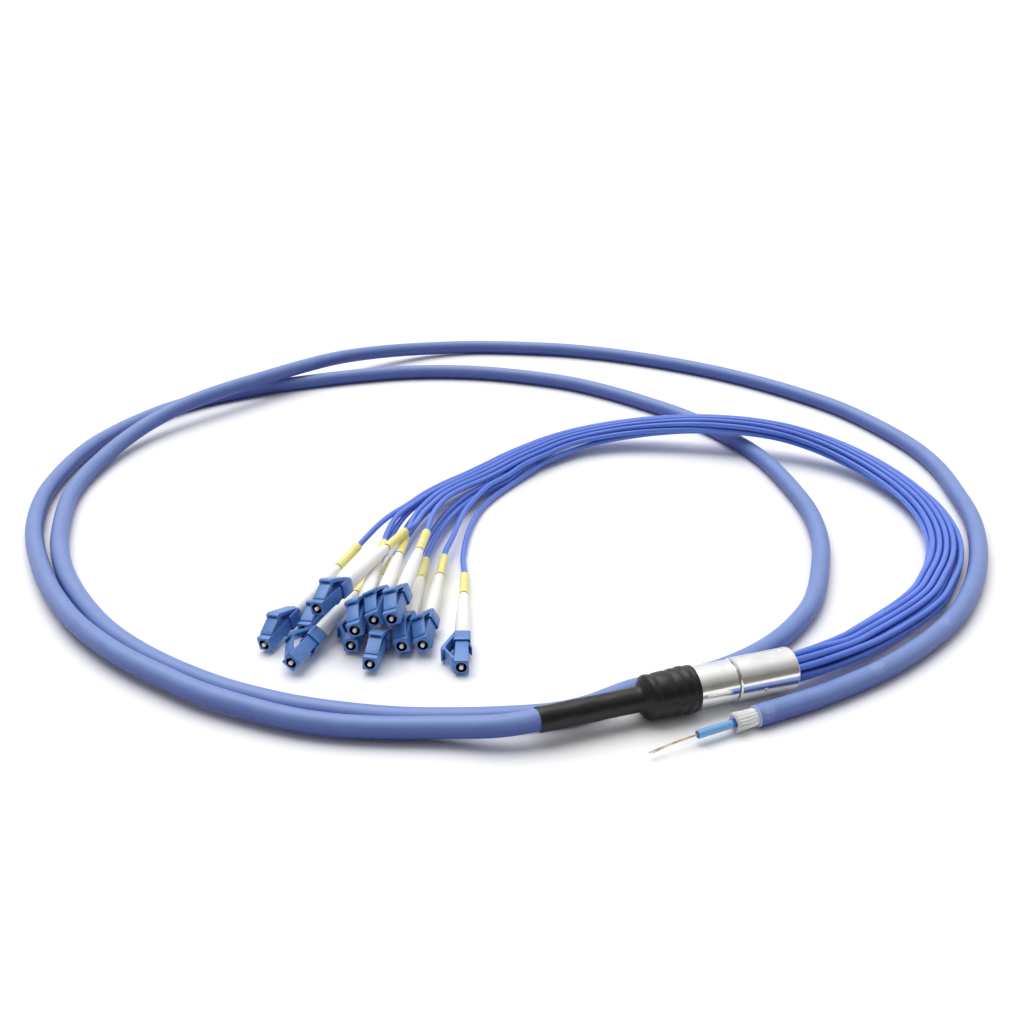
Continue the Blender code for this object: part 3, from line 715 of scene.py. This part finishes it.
satin_black = mottled(
    "satin black sleeve", 0.36, (260.0, 4.0, 0.6),
    [(0.0042, 0.0042, 0.0046), (0.0085, 0.0085, 0.009)],
    gloss=(0.3, 0.7, 0.31, 0.43),
    bumps=[((700.0, 3.0), 0.00004, 0.5), ((160.0,), 0.00012, 0.35)],
    settings={"Specular IOR Level": 0.38},
)
axis = Matrix.Translation((0.0, 0.0, AXIS_HEIGHT))
thin_run = np.linspace(SHRINK_START + 0.0002, SHRINK_SHOULDER - 0.0006, SHRINK_THIN_RINGS)
fat_run = np.linspace(SHRINK_SHOULDER - 0.0002, SHRINK_END - 0.0001, SHRINK_FAT_RINGS)
turns = [math.tau * i / SHRINK_SIDES for i in range(SHRINK_SIDES)]
behind = held_end[::-1]


def shrink_ring(x, smaller=0.0, radius=None):
    """A ring of the sleeve, centred on the gland's axis or, farther back, on the cable."""
    station = min(x, SHRINK_FOLLOWS)
    aside = np.interp(station, behind[:, 0], behind[:, 1])
    above = np.interp(station, behind[:, 0], behind[:, 2]) - AXIS_HEIGHT
    ring = []
    for turn in turns:
        reach = shrink_radius(x, turn) - smaller if radius is None else radius
        ring.append((x, aside + reach * math.sin(turn), above + reach * math.cos(turn)))
    return ring


shrink_rings = [
    shrink_ring(SHRINK_BORE_STEP, radius=CABLE_BORE), shrink_ring(SHRINK_START, radius=CABLE_BORE),
    shrink_ring(SHRINK_START, smaller=0.00008), *[shrink_ring(x) for x in thin_run],
    *[shrink_ring(x) for x in fat_run], shrink_ring(SHRINK_END, smaller=0.00008),
    shrink_ring(SHRINK_END, radius=TAIL_BORE), shrink_ring(SHRINK_BORE_STEP, radius=TAIL_BORE),
]
shrink = add_piece(
    "heat_shrink_sleeve", ring_mesh("heat shrink", shrink_rings, satin_black), axis
)
tie(shrink, "heat_shrink")


# The gland: two bright plated parts turned on a lathe. The outer sleeve is pressed on the body and
# crimped by two small dimples, and resin inside its mouth holds the pigtails.
BODY_START = -0.0055
BODY_RADIUS = 0.0060
BODY_END = 0.0201
SPIGOT_RADIUS = 0.0053
SPIGOT_END = 0.0251
INLET_END = 0.0033
SLEEVE_RADIUS = 0.0063
SLEEVE_BORE = 0.0056
SLEEVE_START = 0.0201
SLEEVE_END = 0.0389
GLAND_BEVEL = 0.0003
GLAND_SIDES = 96
RESIN_SIDES = 48
SLEEVE_RINGS = 90
FIBRE_HOLE_RADIUS = 0.0008
# Each dimple's place along X, its turn from the camera's side upward, and its reach.
DIMPLES = [(0.0354, 95.0, 0.0007), (0.0279, -13.0, 0.0007)]
DIMPLE_DEPTH = 0.00035

plating = mottled(
    "bright plating", 0.15, (190.0, 4.0, 0.6),
    [(0.90, 0.89, 0.87), (0.97, 0.965, 0.955)], gloss=(0.35, 0.75, 0.10, 0.24),
    bumps=[(((5200.0, 60.0, 60.0), 3.0), 0.000006, 0.5), (None, 0.00002, 0.3)], metallic=1.0,
)
grey_resin = mottled(
    "grey resin", 0.35, (900.0, 3.0), [(0.03, 0.03, 0.035), (0.07, 0.07, 0.075)],
    bumps=[(None, 0.0002, 0.6)],
)
body = turned_piece("gland_tail", [
    (BODY_START + 0.0002, CABLE_BORE), (BODY_START, CABLE_BORE + 0.0002),
    (BODY_START, BODY_RADIUS - GLAND_BEVEL), (BODY_START + GLAND_BEVEL, BODY_RADIUS),
    (BODY_END - 0.0006, BODY_RADIUS), (BODY_END - 0.0005, BODY_RADIUS - 0.0001),
    (BODY_END - 0.0005, BODY_RADIUS - 0.0006), (BODY_END, BODY_RADIUS - 0.0006),
    (BODY_END, SPIGOT_RADIUS), (SPIGOT_END, SPIGOT_RADIUS), (SPIGOT_END, FIBRE_HOLE_RADIUS),
    (INLET_END, FIBRE_HOLE_RADIUS), (INLET_END, CABLE_BORE),
], GLAND_SIDES, plating, axis)


def crimped(mesh):
    """Presses the small round dimples into the sleeve's wall."""
    for x, lift, reach in DIMPLES:
        turn = math.radians(lift)
        spot = Vector((x, -SLEEVE_RADIUS * math.cos(turn), SLEEVE_RADIUS * math.sin(turn)))
        for vertex in mesh.vertices:
            apart = (vertex.co - spot).length
            if apart < reach:
                inward = Vector((0.0, -vertex.co.y, -vertex.co.z)).normalized()
                vertex.co += inward * (DIMPLE_DEPTH * eased_step(1.0 - apart / reach))
    return mesh


sleeve_run = np.linspace(SLEEVE_START + 0.0010, SLEEVE_END - 0.0006, SLEEVE_RINGS)
sleeve_profile = [
    (SLEEVE_START, SLEEVE_BORE), (SLEEVE_START, SLEEVE_RADIUS - 0.0005),
    (SLEEVE_START + 0.0001, SLEEVE_RADIUS - GLAND_BEVEL), (SLEEVE_START + 0.0004, SLEEVE_RADIUS),
    *[(x, SLEEVE_RADIUS) for x in sleeve_run], (SLEEVE_END - 0.0003, SLEEVE_RADIUS),
    (SLEEVE_END - 0.0001, SLEEVE_RADIUS - 0.0001), (SLEEVE_END, SLEEVE_RADIUS - 0.0002),
    (SLEEVE_END, SLEEVE_BORE + 0.0001), (SLEEVE_END - 0.0001, SLEEVE_BORE),
]
sleeve = add_piece("gland_outer_sleeve", crimped(
    ring_mesh("gland sleeve", turned_rings(sleeve_profile, GLAND_SIDES), plating)
), axis)
resin = turned_piece("gland_resin", [
    (SPIGOT_END - 0.0006, 0.0001), (SPIGOT_END - 0.0006, SLEEVE_BORE),
    (SPIGOT_END + 0.0012, SLEEVE_BORE), (SPIGOT_END + 0.0008, SLEEVE_BORE * 0.8),
    (SPIGOT_END + 0.0006, 0.0001),
], RESIN_SIDES, grey_resin, axis)
tie(body, "gland_body")
tie(sleeve, "gland_sleeve")
tie(resin)


# The plugs' places: the middle of each front face in metres, the way its tail points, the tail's
# rise and its turn about its own length, in degrees. Each plug, boot, marker and pigtail uses them.
PLUG_PLACES = [
    (-0.1005, 0.0711, 0.0033, 46.2, 7.1, -6.2),
    (-0.0952, 0.0561, 0.0044, 51.0, 0.3, -51.7),
    (-0.0842, 0.0683, 0.0141, 47.0, 0.2, -8.6),
    (-0.0760, 0.0614, 0.0034, 62.0, 0.1, -87.7),
    (-0.0749, 0.0594, 0.0096, 66.4, 0.8, -20.5),
    (-0.0688, 0.0600, 0.0117, 64.7, -0.7, -27.8),
    (-0.0641, 0.0569, 0.0128, 63.0, 0.9, -19.4),
    (-0.0734, 0.0483, 0.0039, 61.4, 0.5, 3.2),
    (-0.0620, 0.0543, 0.0043, 66.2, -0.4, -17.1),
    (-0.0559, 0.0525, 0.0045, 66.3, 0.3, -28.1),
    (-0.0482, 0.0386, 0.0031, 71.0, 0.1, -89.9),
    (-0.0876, 0.0739, 0.0041, 49.8, -0.1, -6.5),
]


def plug_frame(place):
    """The matrix of a plug: origin at its front face, +X to its tail, +Z to its latch."""
    x, y, z, yaw, rise, turn = place
    return (
        Matrix.Translation((x, y, z))
        @ Matrix.Rotation(math.radians(yaw), 4, "Z")
        @ Matrix.Rotation(-math.radians(rise), 4, "Y")
        @ Matrix.Rotation(math.radians(turn), 4, "X")
    )


frames = [plug_frame(place) for place in PLUG_PLACES]


# The ferrules: white zirconia ceramic pins, ground and polished, with the fibre glued in their
# bore. Each floats on a spring in its housing and stands a little out of the nose.
FERRULE_RADIUS = 0.000625
FERRULE_OUT = 0.0005
FERRULE_IN = 0.0030
FERRULE_EDGE = 0.00012
FERRULE_SIDES = 28


def turned_on_each_plug(name, profile, sides, finish, closed=True):
    return [
        turned_piece(f"{name}_{number:02d}", profile, sides, finish, place, closed)
        for number, place in enumerate(frames, 1)
    ]


ferrules = turned_on_each_plug("ferrule", [
    (-FERRULE_OUT + 0.00008, 0.00007), (-FERRULE_OUT, 0.00009),
    (-FERRULE_OUT, FERRULE_RADIUS - FERRULE_EDGE), (-FERRULE_OUT + FERRULE_EDGE, FERRULE_RADIUS),
    (FERRULE_IN, FERRULE_RADIUS),
], FERRULE_SIDES, mottled(
    "white ceramic", 0.12, (600.0,), [(0.84, 0.84, 0.82), (0.93, 0.93, 0.92)],
    settings={"Coat Weight": 0.4},
), closed=False)


# The plug housings: small blue moulded shells, two halves snapped together. A nose with a round
# well holds the ferrule, an arched arm latches it, and the collar's hood presses the arm down.
NOSE_HALF = 0.00226
NOSE_LENGTH = 0.0125
NOSE_CORNER = 0.00032
NOSE_EDGE = 0.00028
WELL_RADIUS = 0.00155
WELL_DEPTH = 0.0024
WELL_FLOOR = 0.0016
COLLAR_START = 0.0119
COLLAR_END = 0.0174
COLLAR_HALF_WIDTH = 0.0027
COLLAR_HALF_HEIGHT = 0.0026
COLLAR_CORNER = 0.0007
COLLAR_GROOVE = 0.0008
GROOVE_CORNER = 0.0004
# Side outlines as (x, z) from the front face and the axis: the arm's top and underside, the hood
# over its end and the small skirt below.
ARM_TOP = [
    (0.0018, 0.0021), (0.0019, 0.0026), (0.0024, 0.00295), (0.0036, 0.00352), (0.0048, 0.0041),
    (0.0060, 0.0047), (0.0070, 0.00515), (0.0078, 0.0054),
]
ARM_BELOW = [
    (0.0080, 0.0046), (0.0070, 0.0043), (0.0060, 0.00385), (0.0050, 0.0033), (0.0040, 0.0027),
    (0.0036, 0.0021),
]
HOOD_SIDE = [
    (0.0068, 0.0048), (0.0068, 0.0059), (0.0070, 0.00622), (0.0076, 0.00632), (0.0084, 0.00618),
    (0.0100, 0.00555), (0.0120, 0.00470), (0.0140, 0.00385), (0.0155, 0.0032), (0.0163, 0.0029),
    (0.0166, 0.0026), (0.0164, 0.0018), (0.0148, 0.0018), (0.0140, 0.0026), (0.0125, 0.0033),
    (0.0108, 0.0040), (0.0094, 0.0045), (0.0082, 0.0048),
]
SKIRT_SIDE = [
    (0.0124, -0.0019), (0.0124, -0.0024), (0.0110, -0.00265), (0.0097, -0.00305),
    (0.0090, -0.0031), (0.0091, -0.0028), (0.0104, -0.00235), (0.0112, -0.0019),
]
ARM_WIDTH = 0.0041
ARM_EDGE = 0.00018
HOOD_WIDTH = 0.0044
HOOD_EDGE = 0.00022
SKIRT_WIDTH = 0.0030
SKIRT_EDGE = 0.00006
MOULDED_SHARP_FROM = 30.0
SLOT_WIDTH = 0.0028
SLOT_HEIGHT = 0.0008
SLOT_DEPTH = 0.0011
RING_STEPS = 8
WELL_SQUEEZE = 0.06


def squared_ring(x, half_width, half_height, corner, squeeze=0.0):
    """A ring about X with flat sides and rounded corners, whose points may keep off the sides."""
    ring = []
    for quarter, (side_y, side_z) in enumerate([(1, 1), (-1, 1), (-1, -1), (1, -1)]):
        for i in range(RING_STEPS):
            share = squeeze + (1 - 2 * squeeze) * i / (RING_STEPS - 1)
            turn = math.pi / 2 * (quarter + share)
            ring.append((
                x, side_y * (half_width - corner) + corner * math.cos(turn),
                side_z * (half_height - corner) + corner * math.sin(turn),
            ))
    return ring


def round_ring(x, radius):
    return squared_ring(x, radius, radius, radius, WELL_SQUEEZE)


def nose_ring(x, proud, corner=NOSE_CORNER):
    return squared_ring(x, NOSE_HALF + proud, NOSE_HALF + proud, corner)


def collar_ring(x, less, corner=COLLAR_CORNER):
    return squared_ring(x, COLLAR_HALF_WIDTH - less, COLLAR_HALF_HEIGHT - less, corner)


def pulled_out(shape, face, way):
    """Extrudes a face of a bmesh and moves what that makes."""
    for item in bmesh.ops.extrude_face_region(shape, geom=[face])["geom"]:
        if isinstance(item, bmesh.types.BMVert):
            item.co += Vector(way)


def moulded_plate(outline, width, edge):
    """A plate of a side outline, centred on y = 0, its edges rounded as a mould leaves them."""
    shape = bmesh.new()
    face = shape.faces.new([shape.verts.new((x, -width / 2, z)) for x, z in outline])
    pulled_out(shape, face, (0.0, width, 0.0))
    bmesh.ops.recalc_face_normals(shape, faces=shape.faces)
    rims = [e for e in shape.edges if abs(e.verts[0].co.y - e.verts[1].co.y) < 1e-7]
    bmesh.ops.bevel(shape, geom=rims, offset=edge, segments=2, profile=0.6, affect="EDGES")
    return shape


def into(shape, other):
    """Adds one bmesh's faces to another."""
    copied = {vertex: shape.verts.new(vertex.co) for vertex in other.verts}
    for face in other.faces:
        shape.faces.new([copied[vertex] for vertex in face.verts])
    other.free()


def hood_with_slot():
    """The hood, hollowed at its front so that the arm's end slides under it."""
    shape = moulded_plate(HOOD_SIDE, HOOD_WIDTH, HOOD_EDGE)
    front = min(
        (f for f in shape.faces if f.normal.x < -0.8 and f.calc_area() > 1e-6),
        key=lambda f: f.calc_center_median().x,
    )
    bmesh.ops.inset_region(shape, faces=[front], thickness=0.00020)
    middle = front.calc_center_median()
    for vertex in front.verts:
        vertex.co.y = middle.y + math.copysign(SLOT_WIDTH / 2, vertex.co.y - middle.y)
        vertex.co.z = middle.z + math.copysign(SLOT_HEIGHT / 2, vertex.co.z - middle.z)
    pulled_out(shape, front, (SLOT_DEPTH, 0.0, 0.0))
    bmesh.ops.delete(shape, geom=[front], context="FACES_ONLY")
    return shape


def housing_mesh(finish, shade):
    shape = joined_rings([
        nose_ring(NOSE_LENGTH, -NOSE_EDGE), nose_ring(NOSE_EDGE, 0.0),
        nose_ring(NOSE_EDGE * 0.3, -NOSE_EDGE * 0.3), nose_ring(0.0, -NOSE_EDGE),
        round_ring(0.0, WELL_RADIUS + 0.0001), round_ring(0.0001, WELL_RADIUS),
        round_ring(WELL_DEPTH, WELL_RADIUS), round_ring(WELL_DEPTH, FERRULE_RADIUS * 1.5),
        round_ring(WELL_FLOOR, FERRULE_RADIUS * 1.45), round_ring(WELL_FLOOR, FERRULE_RADIUS * 0.9),
    ])
    into(shape, joined_rings([
        nose_ring(COLLAR_START + COLLAR_GROOVE, -0.0001, GROOVE_CORNER),
        nose_ring(COLLAR_START + COLLAR_GROOVE, 0.0001, GROOVE_CORNER),
        nose_ring(COLLAR_START, 0.00012, GROOVE_CORNER), collar_ring(COLLAR_START, 0.0001, 0.0006),
        collar_ring(COLLAR_START + 0.0002, 0.0), collar_ring(COLLAR_END - 0.0005, 0.0),
        collar_ring(COLLAR_END - 0.0001, 0.0002), collar_ring(COLLAR_END, 0.0004),
    ]))
    into(shape, moulded_plate(ARM_TOP + ARM_BELOW, ARM_WIDTH, ARM_EDGE))
    into(shape, hood_with_slot())
    into(shape, moulded_plate(SKIRT_SIDE, SKIRT_WIDTH, SKIRT_EDGE))
    mesh = finished_mesh("plug housing", shape, [finish, shade], MOULDED_SHARP_FROM)
    # Faces in the well take the second finish, the near-black painted shade.
    for face in mesh.polygons:
        out = math.hypot(face.center.y, face.center.z)
        if out < WELL_RADIUS + 0.00008 and -0.00001 < face.center.x < WELL_DEPTH + 0.0001:
            face.material_index = 1
    return mesh


# Glossy moulded nylon, finely textured with slight flow marks, and the same moulding in the well
# around the ferrule, painted near-black and matt as painted shade for its unlit depth.
moulding = mottled(
    "blue moulding", 0.30, (240.0, 4.0, 0.6),
    [(0.078, 0.200, 0.520), (0.104, 0.250, 0.610)], gloss=(0.3, 0.7, 0.24, 0.36),
    bumps=[((4200.0,), 0.000012, 0.5), (None, 0.00005, 0.3)],
)
painted_shade_well = mottled(
    "dark well", 0.65, (900.0, 3.0), [(0.003, 0.005, 0.012), (0.006, 0.010, 0.022)],
    settings={"Specular IOR Level": 0.15},
)
housings = [
    add_piece(f"plug_housing_{number:02d}", housing_mesh(moulding, painted_shade_well), place)
    for number, place in enumerate(frames, 1)
]


# The boots: off-white soft moulded sleeves, pushed over the crimp behind each plug. They are
# straight at the front, then taper smoothly to a rounded tail that guides the pigtail's bend.
BOOT_START = 0.0177
BOOT_LENGTH = 0.0265
BOOT_FRONT_LENGTH = 0.0066
BOOT_FRONT_RADIUS = 0.0024
BOOT_TAIL_RADIUS = 0.0016
BOOT_TAPER_RINGS = 12
BOOT_SIDES = 32
PIGTAIL_RADIUS = 0.0010

boot_end = BOOT_START + BOOT_LENGTH
taper_start = BOOT_START + BOOT_FRONT_LENGTH
taper = []
for share in np.linspace(0.0, 1.0, BOOT_TAPER_RINGS):
    radius = BOOT_FRONT_RADIUS + (BOOT_TAIL_RADIUS - BOOT_FRONT_RADIUS) * share
    radius += 0.00012 * math.sin(math.pi * share)
    taper.append((taper_start + (BOOT_LENGTH - BOOT_FRONT_LENGTH - 0.0010) * share, radius))
boots = turned_on_each_plug("rubber_boot", [
    (BOOT_START + 0.0010, PIGTAIL_RADIUS + 0.0001), (BOOT_START, PIGTAIL_RADIUS + 0.0002),
    (BOOT_START, BOOT_FRONT_RADIUS - 0.0003), (BOOT_START + 0.0001, BOOT_FRONT_RADIUS - 0.0001),
    (BOOT_START + 0.0004, BOOT_FRONT_RADIUS), (taper_start - 0.0010, BOOT_FRONT_RADIUS), *taper,
    (boot_end - 0.0004, BOOT_TAIL_RADIUS - 0.0001), (boot_end - 0.0001, BOOT_TAIL_RADIUS - 0.0003),
    (boot_end, PIGTAIL_RADIUS + 0.0003), (boot_end - 0.0002, PIGTAIL_RADIUS + 0.00008),
], BOOT_SIDES, mottled(
    "off-white rubber", 0.42, (90.0, 4.0, 0.6),
    [(0.88, 0.875, 0.845), (0.94, 0.935, 0.915)], gloss=(0.3, 0.7, 0.36, 0.48),
    bumps=[((2400.0,), 0.000015, 0.5)],
    settings={"Subsurface Weight": 0.15, "Subsurface Radius": (0.002, 0.0018, 0.0015)},
))


# The marker sleeves: short lengths of pale yellow tube, cut square and slid over each pigtail
# behind its boot. They are a loose fit that lets the strand play inside.
MARKER_START = 0.0445
MARKER_LENGTH = 0.0133
MARKER_RADIUS = 0.0015
MARKER_BORE = 0.0012
MARKER_EDGE = 0.00006
MARKER_SIDES = 28

marker_end = MARKER_START + MARKER_LENGTH
markers = turned_on_each_plug("marker_tube", [
    (MARKER_START, MARKER_BORE), (MARKER_START, MARKER_RADIUS - MARKER_EDGE),
    (MARKER_START + MARKER_EDGE, MARKER_RADIUS), (marker_end - MARKER_EDGE, MARKER_RADIUS),
    (marker_end, MARKER_RADIUS - MARKER_EDGE), (marker_end, MARKER_BORE),
], MARKER_SIDES, mottled(
    "pale yellow tube", 0.36, (300.0, 4.0, 0.6),
    [(0.84, 0.765, 0.24), (0.92, 0.855, 0.36)], bumps=[((1500.0, 3.0), 0.00002, 0.5)],
    settings={"Subsurface Weight": 0.12, "Subsurface Radius": (0.001, 0.0009, 0.0005)},
))


# The pigtails: twelve 2 mm cords, each one buffered fibre in yarns under a bright blue jacket.
# They leave the gland in a loose bundle, arch over the cable and spread to their plugs.
PIGTAIL_DIAMETER = 0.0020
PIGTAIL_SIDES = 14
STRAND_PITCH = 0.0023
MARKER_ROOM = 0.0038
PIGTAIL_STATION = 0.002
BUNDLE_ROUTE = [
    (-0.0484, 0.1060, 0.0040), (-0.0404, 0.1210, 0.0040), (-0.0304, 0.1370, 0.0040),
    (-0.0184, 0.1510, 0.0040), (-0.0049, 0.1618, 0.0040), (0.0092, 0.1708, 0.0040),
    (0.0215, 0.1782, 0.0042), (0.0366, 0.1854, 0.0046), (0.0486, 0.1890, 0.0052),
    (0.0616, 0.1896, 0.0062), (0.0742, 0.1872, 0.0076), (0.0856, 0.1826, 0.0092),
    (0.0960, 0.1770, 0.0106), (0.1062, 0.1706, 0.0114), (0.1196, 0.1614, 0.0114),
    (0.1312, 0.1516, 0.0102), (0.1400, 0.1404, 0.0082), (0.1462, 0.1270, 0.0064),
    (0.1492, 0.1092, 0.0050), (0.1484, 0.0920, 0.0044), (0.1444, 0.0762, 0.0042),
    (0.1376, 0.0610, 0.0042), (0.1276, 0.0466, 0.0042), (0.1145, 0.0338, 0.0042),
    (0.1039, 0.0251, 0.0042), (0.0918, 0.0187, 0.0044), (0.0785, 0.0126, 0.0048),
    (0.0597, 0.0046, 0.0060), (0.0396, 0.0000, 0.0069), (0.0266, 0.0000, 0.0069),
]
# The route of the one pigtail that lies apart from the bundle, from its plug to the bundle.
LOOSE_PIGTAIL = 11
LOOSE_ROUTE = [
    (-0.0253, 0.1075, 0.0015), (-0.0195, 0.1221, 0.0015), (-0.0107, 0.1384, 0.0015),
    (-0.0003, 0.1516, 0.0015), (0.0191, 0.1676, 0.0020), (0.0400, 0.1810, 0.0036),
]
# The bundle's half width and half height, at shares of its route.
BUNDLE_OUTLINE = [
    (0.00, 0.0240, 0.0120), (0.08, 0.0130, 0.0060), (0.16, 0.0080, 0.0032),
    (0.30, 0.0066, 0.0026), (0.45, 0.0050, 0.0026), (0.60, 0.0060, 0.0024),
    (0.75, 0.0066, 0.0022), (0.90, 0.0050, 0.0028), (0.96, 0.0037, 0.0034),
    (1.00, 0.0036, 0.0036),
]
BUNDLE_TWIST = 2.5
BUNDLE_STATIONS = 38
STRAIGHT_FROM_MARKER = 0.005
LYING_HEIGHT = 0.0013
SETTLING_STEPS = 160
DRAWN_STEPS = 100


def settled(places, free, spacing, half_width, half_height, floor):
    """Places across the bundle, drawn into its outline and pushed apart to their own room."""
    for step in range(SETTLING_STEPS):
        gap = places[:, None] - places[None]
        apart = np.linalg.norm(gap, axis=2) + np.eye(len(places))
        short = np.clip(spacing - apart, 0.0, None) * (1 - np.eye(len(places)))
        push = (gap / apart[..., None] * short[..., None]).sum(axis=1)
        places[free] += 0.5 * push[free]
        if step < DRAWN_STEPS:
            reach = np.hypot(places[:, 0] / half_width, places[:, 1] / half_height)
            outside = free & (reach > 1.0)
            places[outside] *= (0.8 + 0.2 / reach[outside])[:, None]
        places[free, 1] = np.maximum(places[free, 1], floor)
    return places


def pigtail_routes():
    """The route of each pigtail, from its plug to the gland."""
    spine = smooth_route(BUNDLE_ROUTE, BUNDLE_STATIONS)
    outline = np.array(BUNDLE_OUTLINE)
    twist = math.radians(BUNDLE_TWIST)
    ends = np.array([place @ Vector((marker_end, 0, 0)) for place in frames])
    ways = np.array([place.to_3x3() @ Vector((1, 0, 0)) for place in frames])
    routes = [[end - way * MARKER_LENGTH, end + way * 0.0003] for end, way in zip(ends, ways)]
    apart = LOOSE_PIGTAIL - 1
    loose = smooth_route(LOOSE_ROUTE, len(LOOSE_ROUTE) * 2)
    routes[apart].extend(loose[:-1])
    places = np.zeros((len(ends), 2))
    free = np.zeros(len(ends), bool)
    for station, here in enumerate(spine):
        share = station / (BUNDLE_STATIONS - 1)
        before = spine[max(station - 1, 0)]
        after = spine[min(station + 1, BUNDLE_STATIONS - 1)]
        ahead = np.array([after[0] - before[0], after[1] - before[1], 0.0])
        ahead /= np.linalg.norm(ahead)
        across = np.array([ahead[1], -ahead[0], 0.0])
        lead = (here - ends) @ ahead / (ways @ ahead)
        straight = ends + ways * lead[:, None] - here
        straight[apart] = loose[np.argmin(np.abs((loose - here) @ ahead))] - here
        lead[apart] = (here - loose[-1]) @ ahead
        held = ~free & (lead < STRAIGHT_FROM_MARKER)
        half_width = np.interp(share, outline[:, 0], outline[:, 1])
        half_height = np.interp(share, outline[:, 0], outline[:, 2])
        entering = ~free
        places[entering] = np.column_stack([straight @ across, straight[:, 2]])[entering]
        swing = np.column_stack([
            places[:, 1] * half_width / half_height, -places[:, 0] * half_height / half_width
        ])
        if free.all():
            places = places + twist * swing
        free = ~held
        marked = held.copy()
        marked[apart] = False
        spacing = np.full((len(ends), len(ends)), STRAND_PITCH)
        spacing[marked] = MARKER_ROOM
        spacing[:, marked] = MARKER_ROOM
        floor = LYING_HEIGHT - here[2]
        places = settled(places, free, spacing, half_width, half_height, floor)
        for number in np.flatnonzero(free):
            point = here + across * places[number, 0]
            routes[number].append(point + np.array([0.0, 0.0, places[number, 1]]))
    return [np.array(route) for route in routes]


def pigtail_jacket():
    """Thin bright blue jacket, smooth and slightly glossy, with faint lines along it."""
    finish, tree, shader = new_finish("pigtail jacket", 0.34)
    tone = grain(tree, on_its_jacket(tree), (500.0, 500.0, 60.0), 3.0, 0.6)
    blue = shades(tree, tone, [
        (0.3, (0.084, 0.172, 0.650)), (0.5, (0.104, 0.206, 0.730)), (0.7, (0.128, 0.240, 0.790)),
    ])
    tree.links.new(blue, shader.inputs["Base Color"])
    tree.links.new(span(tree, tone, 0.3, 0.7, 0.30, 0.42), shader.inputs["Roughness"])
    uneven(tree, shader, grain(tree, object_place(tree), 1500.0, 3.0), 0.00002, 0.5)
    return finish


pigtail_finish = pigtail_jacket()
pieces = zip(pigtail_routes(), ferrules, housings, boots, markers)
for number, (route, ferrule, housing, boot, marker) in enumerate(pieces, 1):
    from_gland = smooth_route(route, int(route_length(route) / PIGTAIL_STATION))[::-1]
    pigtail = run_tree(
        f"pigtail_cord_{number:02d}", extruded, route_mesh("pigtail route", from_gland),
        {"Diameter": PIGTAIL_DIAMETER, "Sides": PIGTAIL_SIDES, "Finish": pigtail_finish},
    )
    tie(pigtail, f"pigtail_{number:02d}")
    tie(ferrule)
    tie(housing, f"connector_{number:02d}")
    tie(boot, f"boot_{number:02d}")
    tie(marker, f"marker_sleeve_{number:02d}")


bpy.context.view_layer.update()
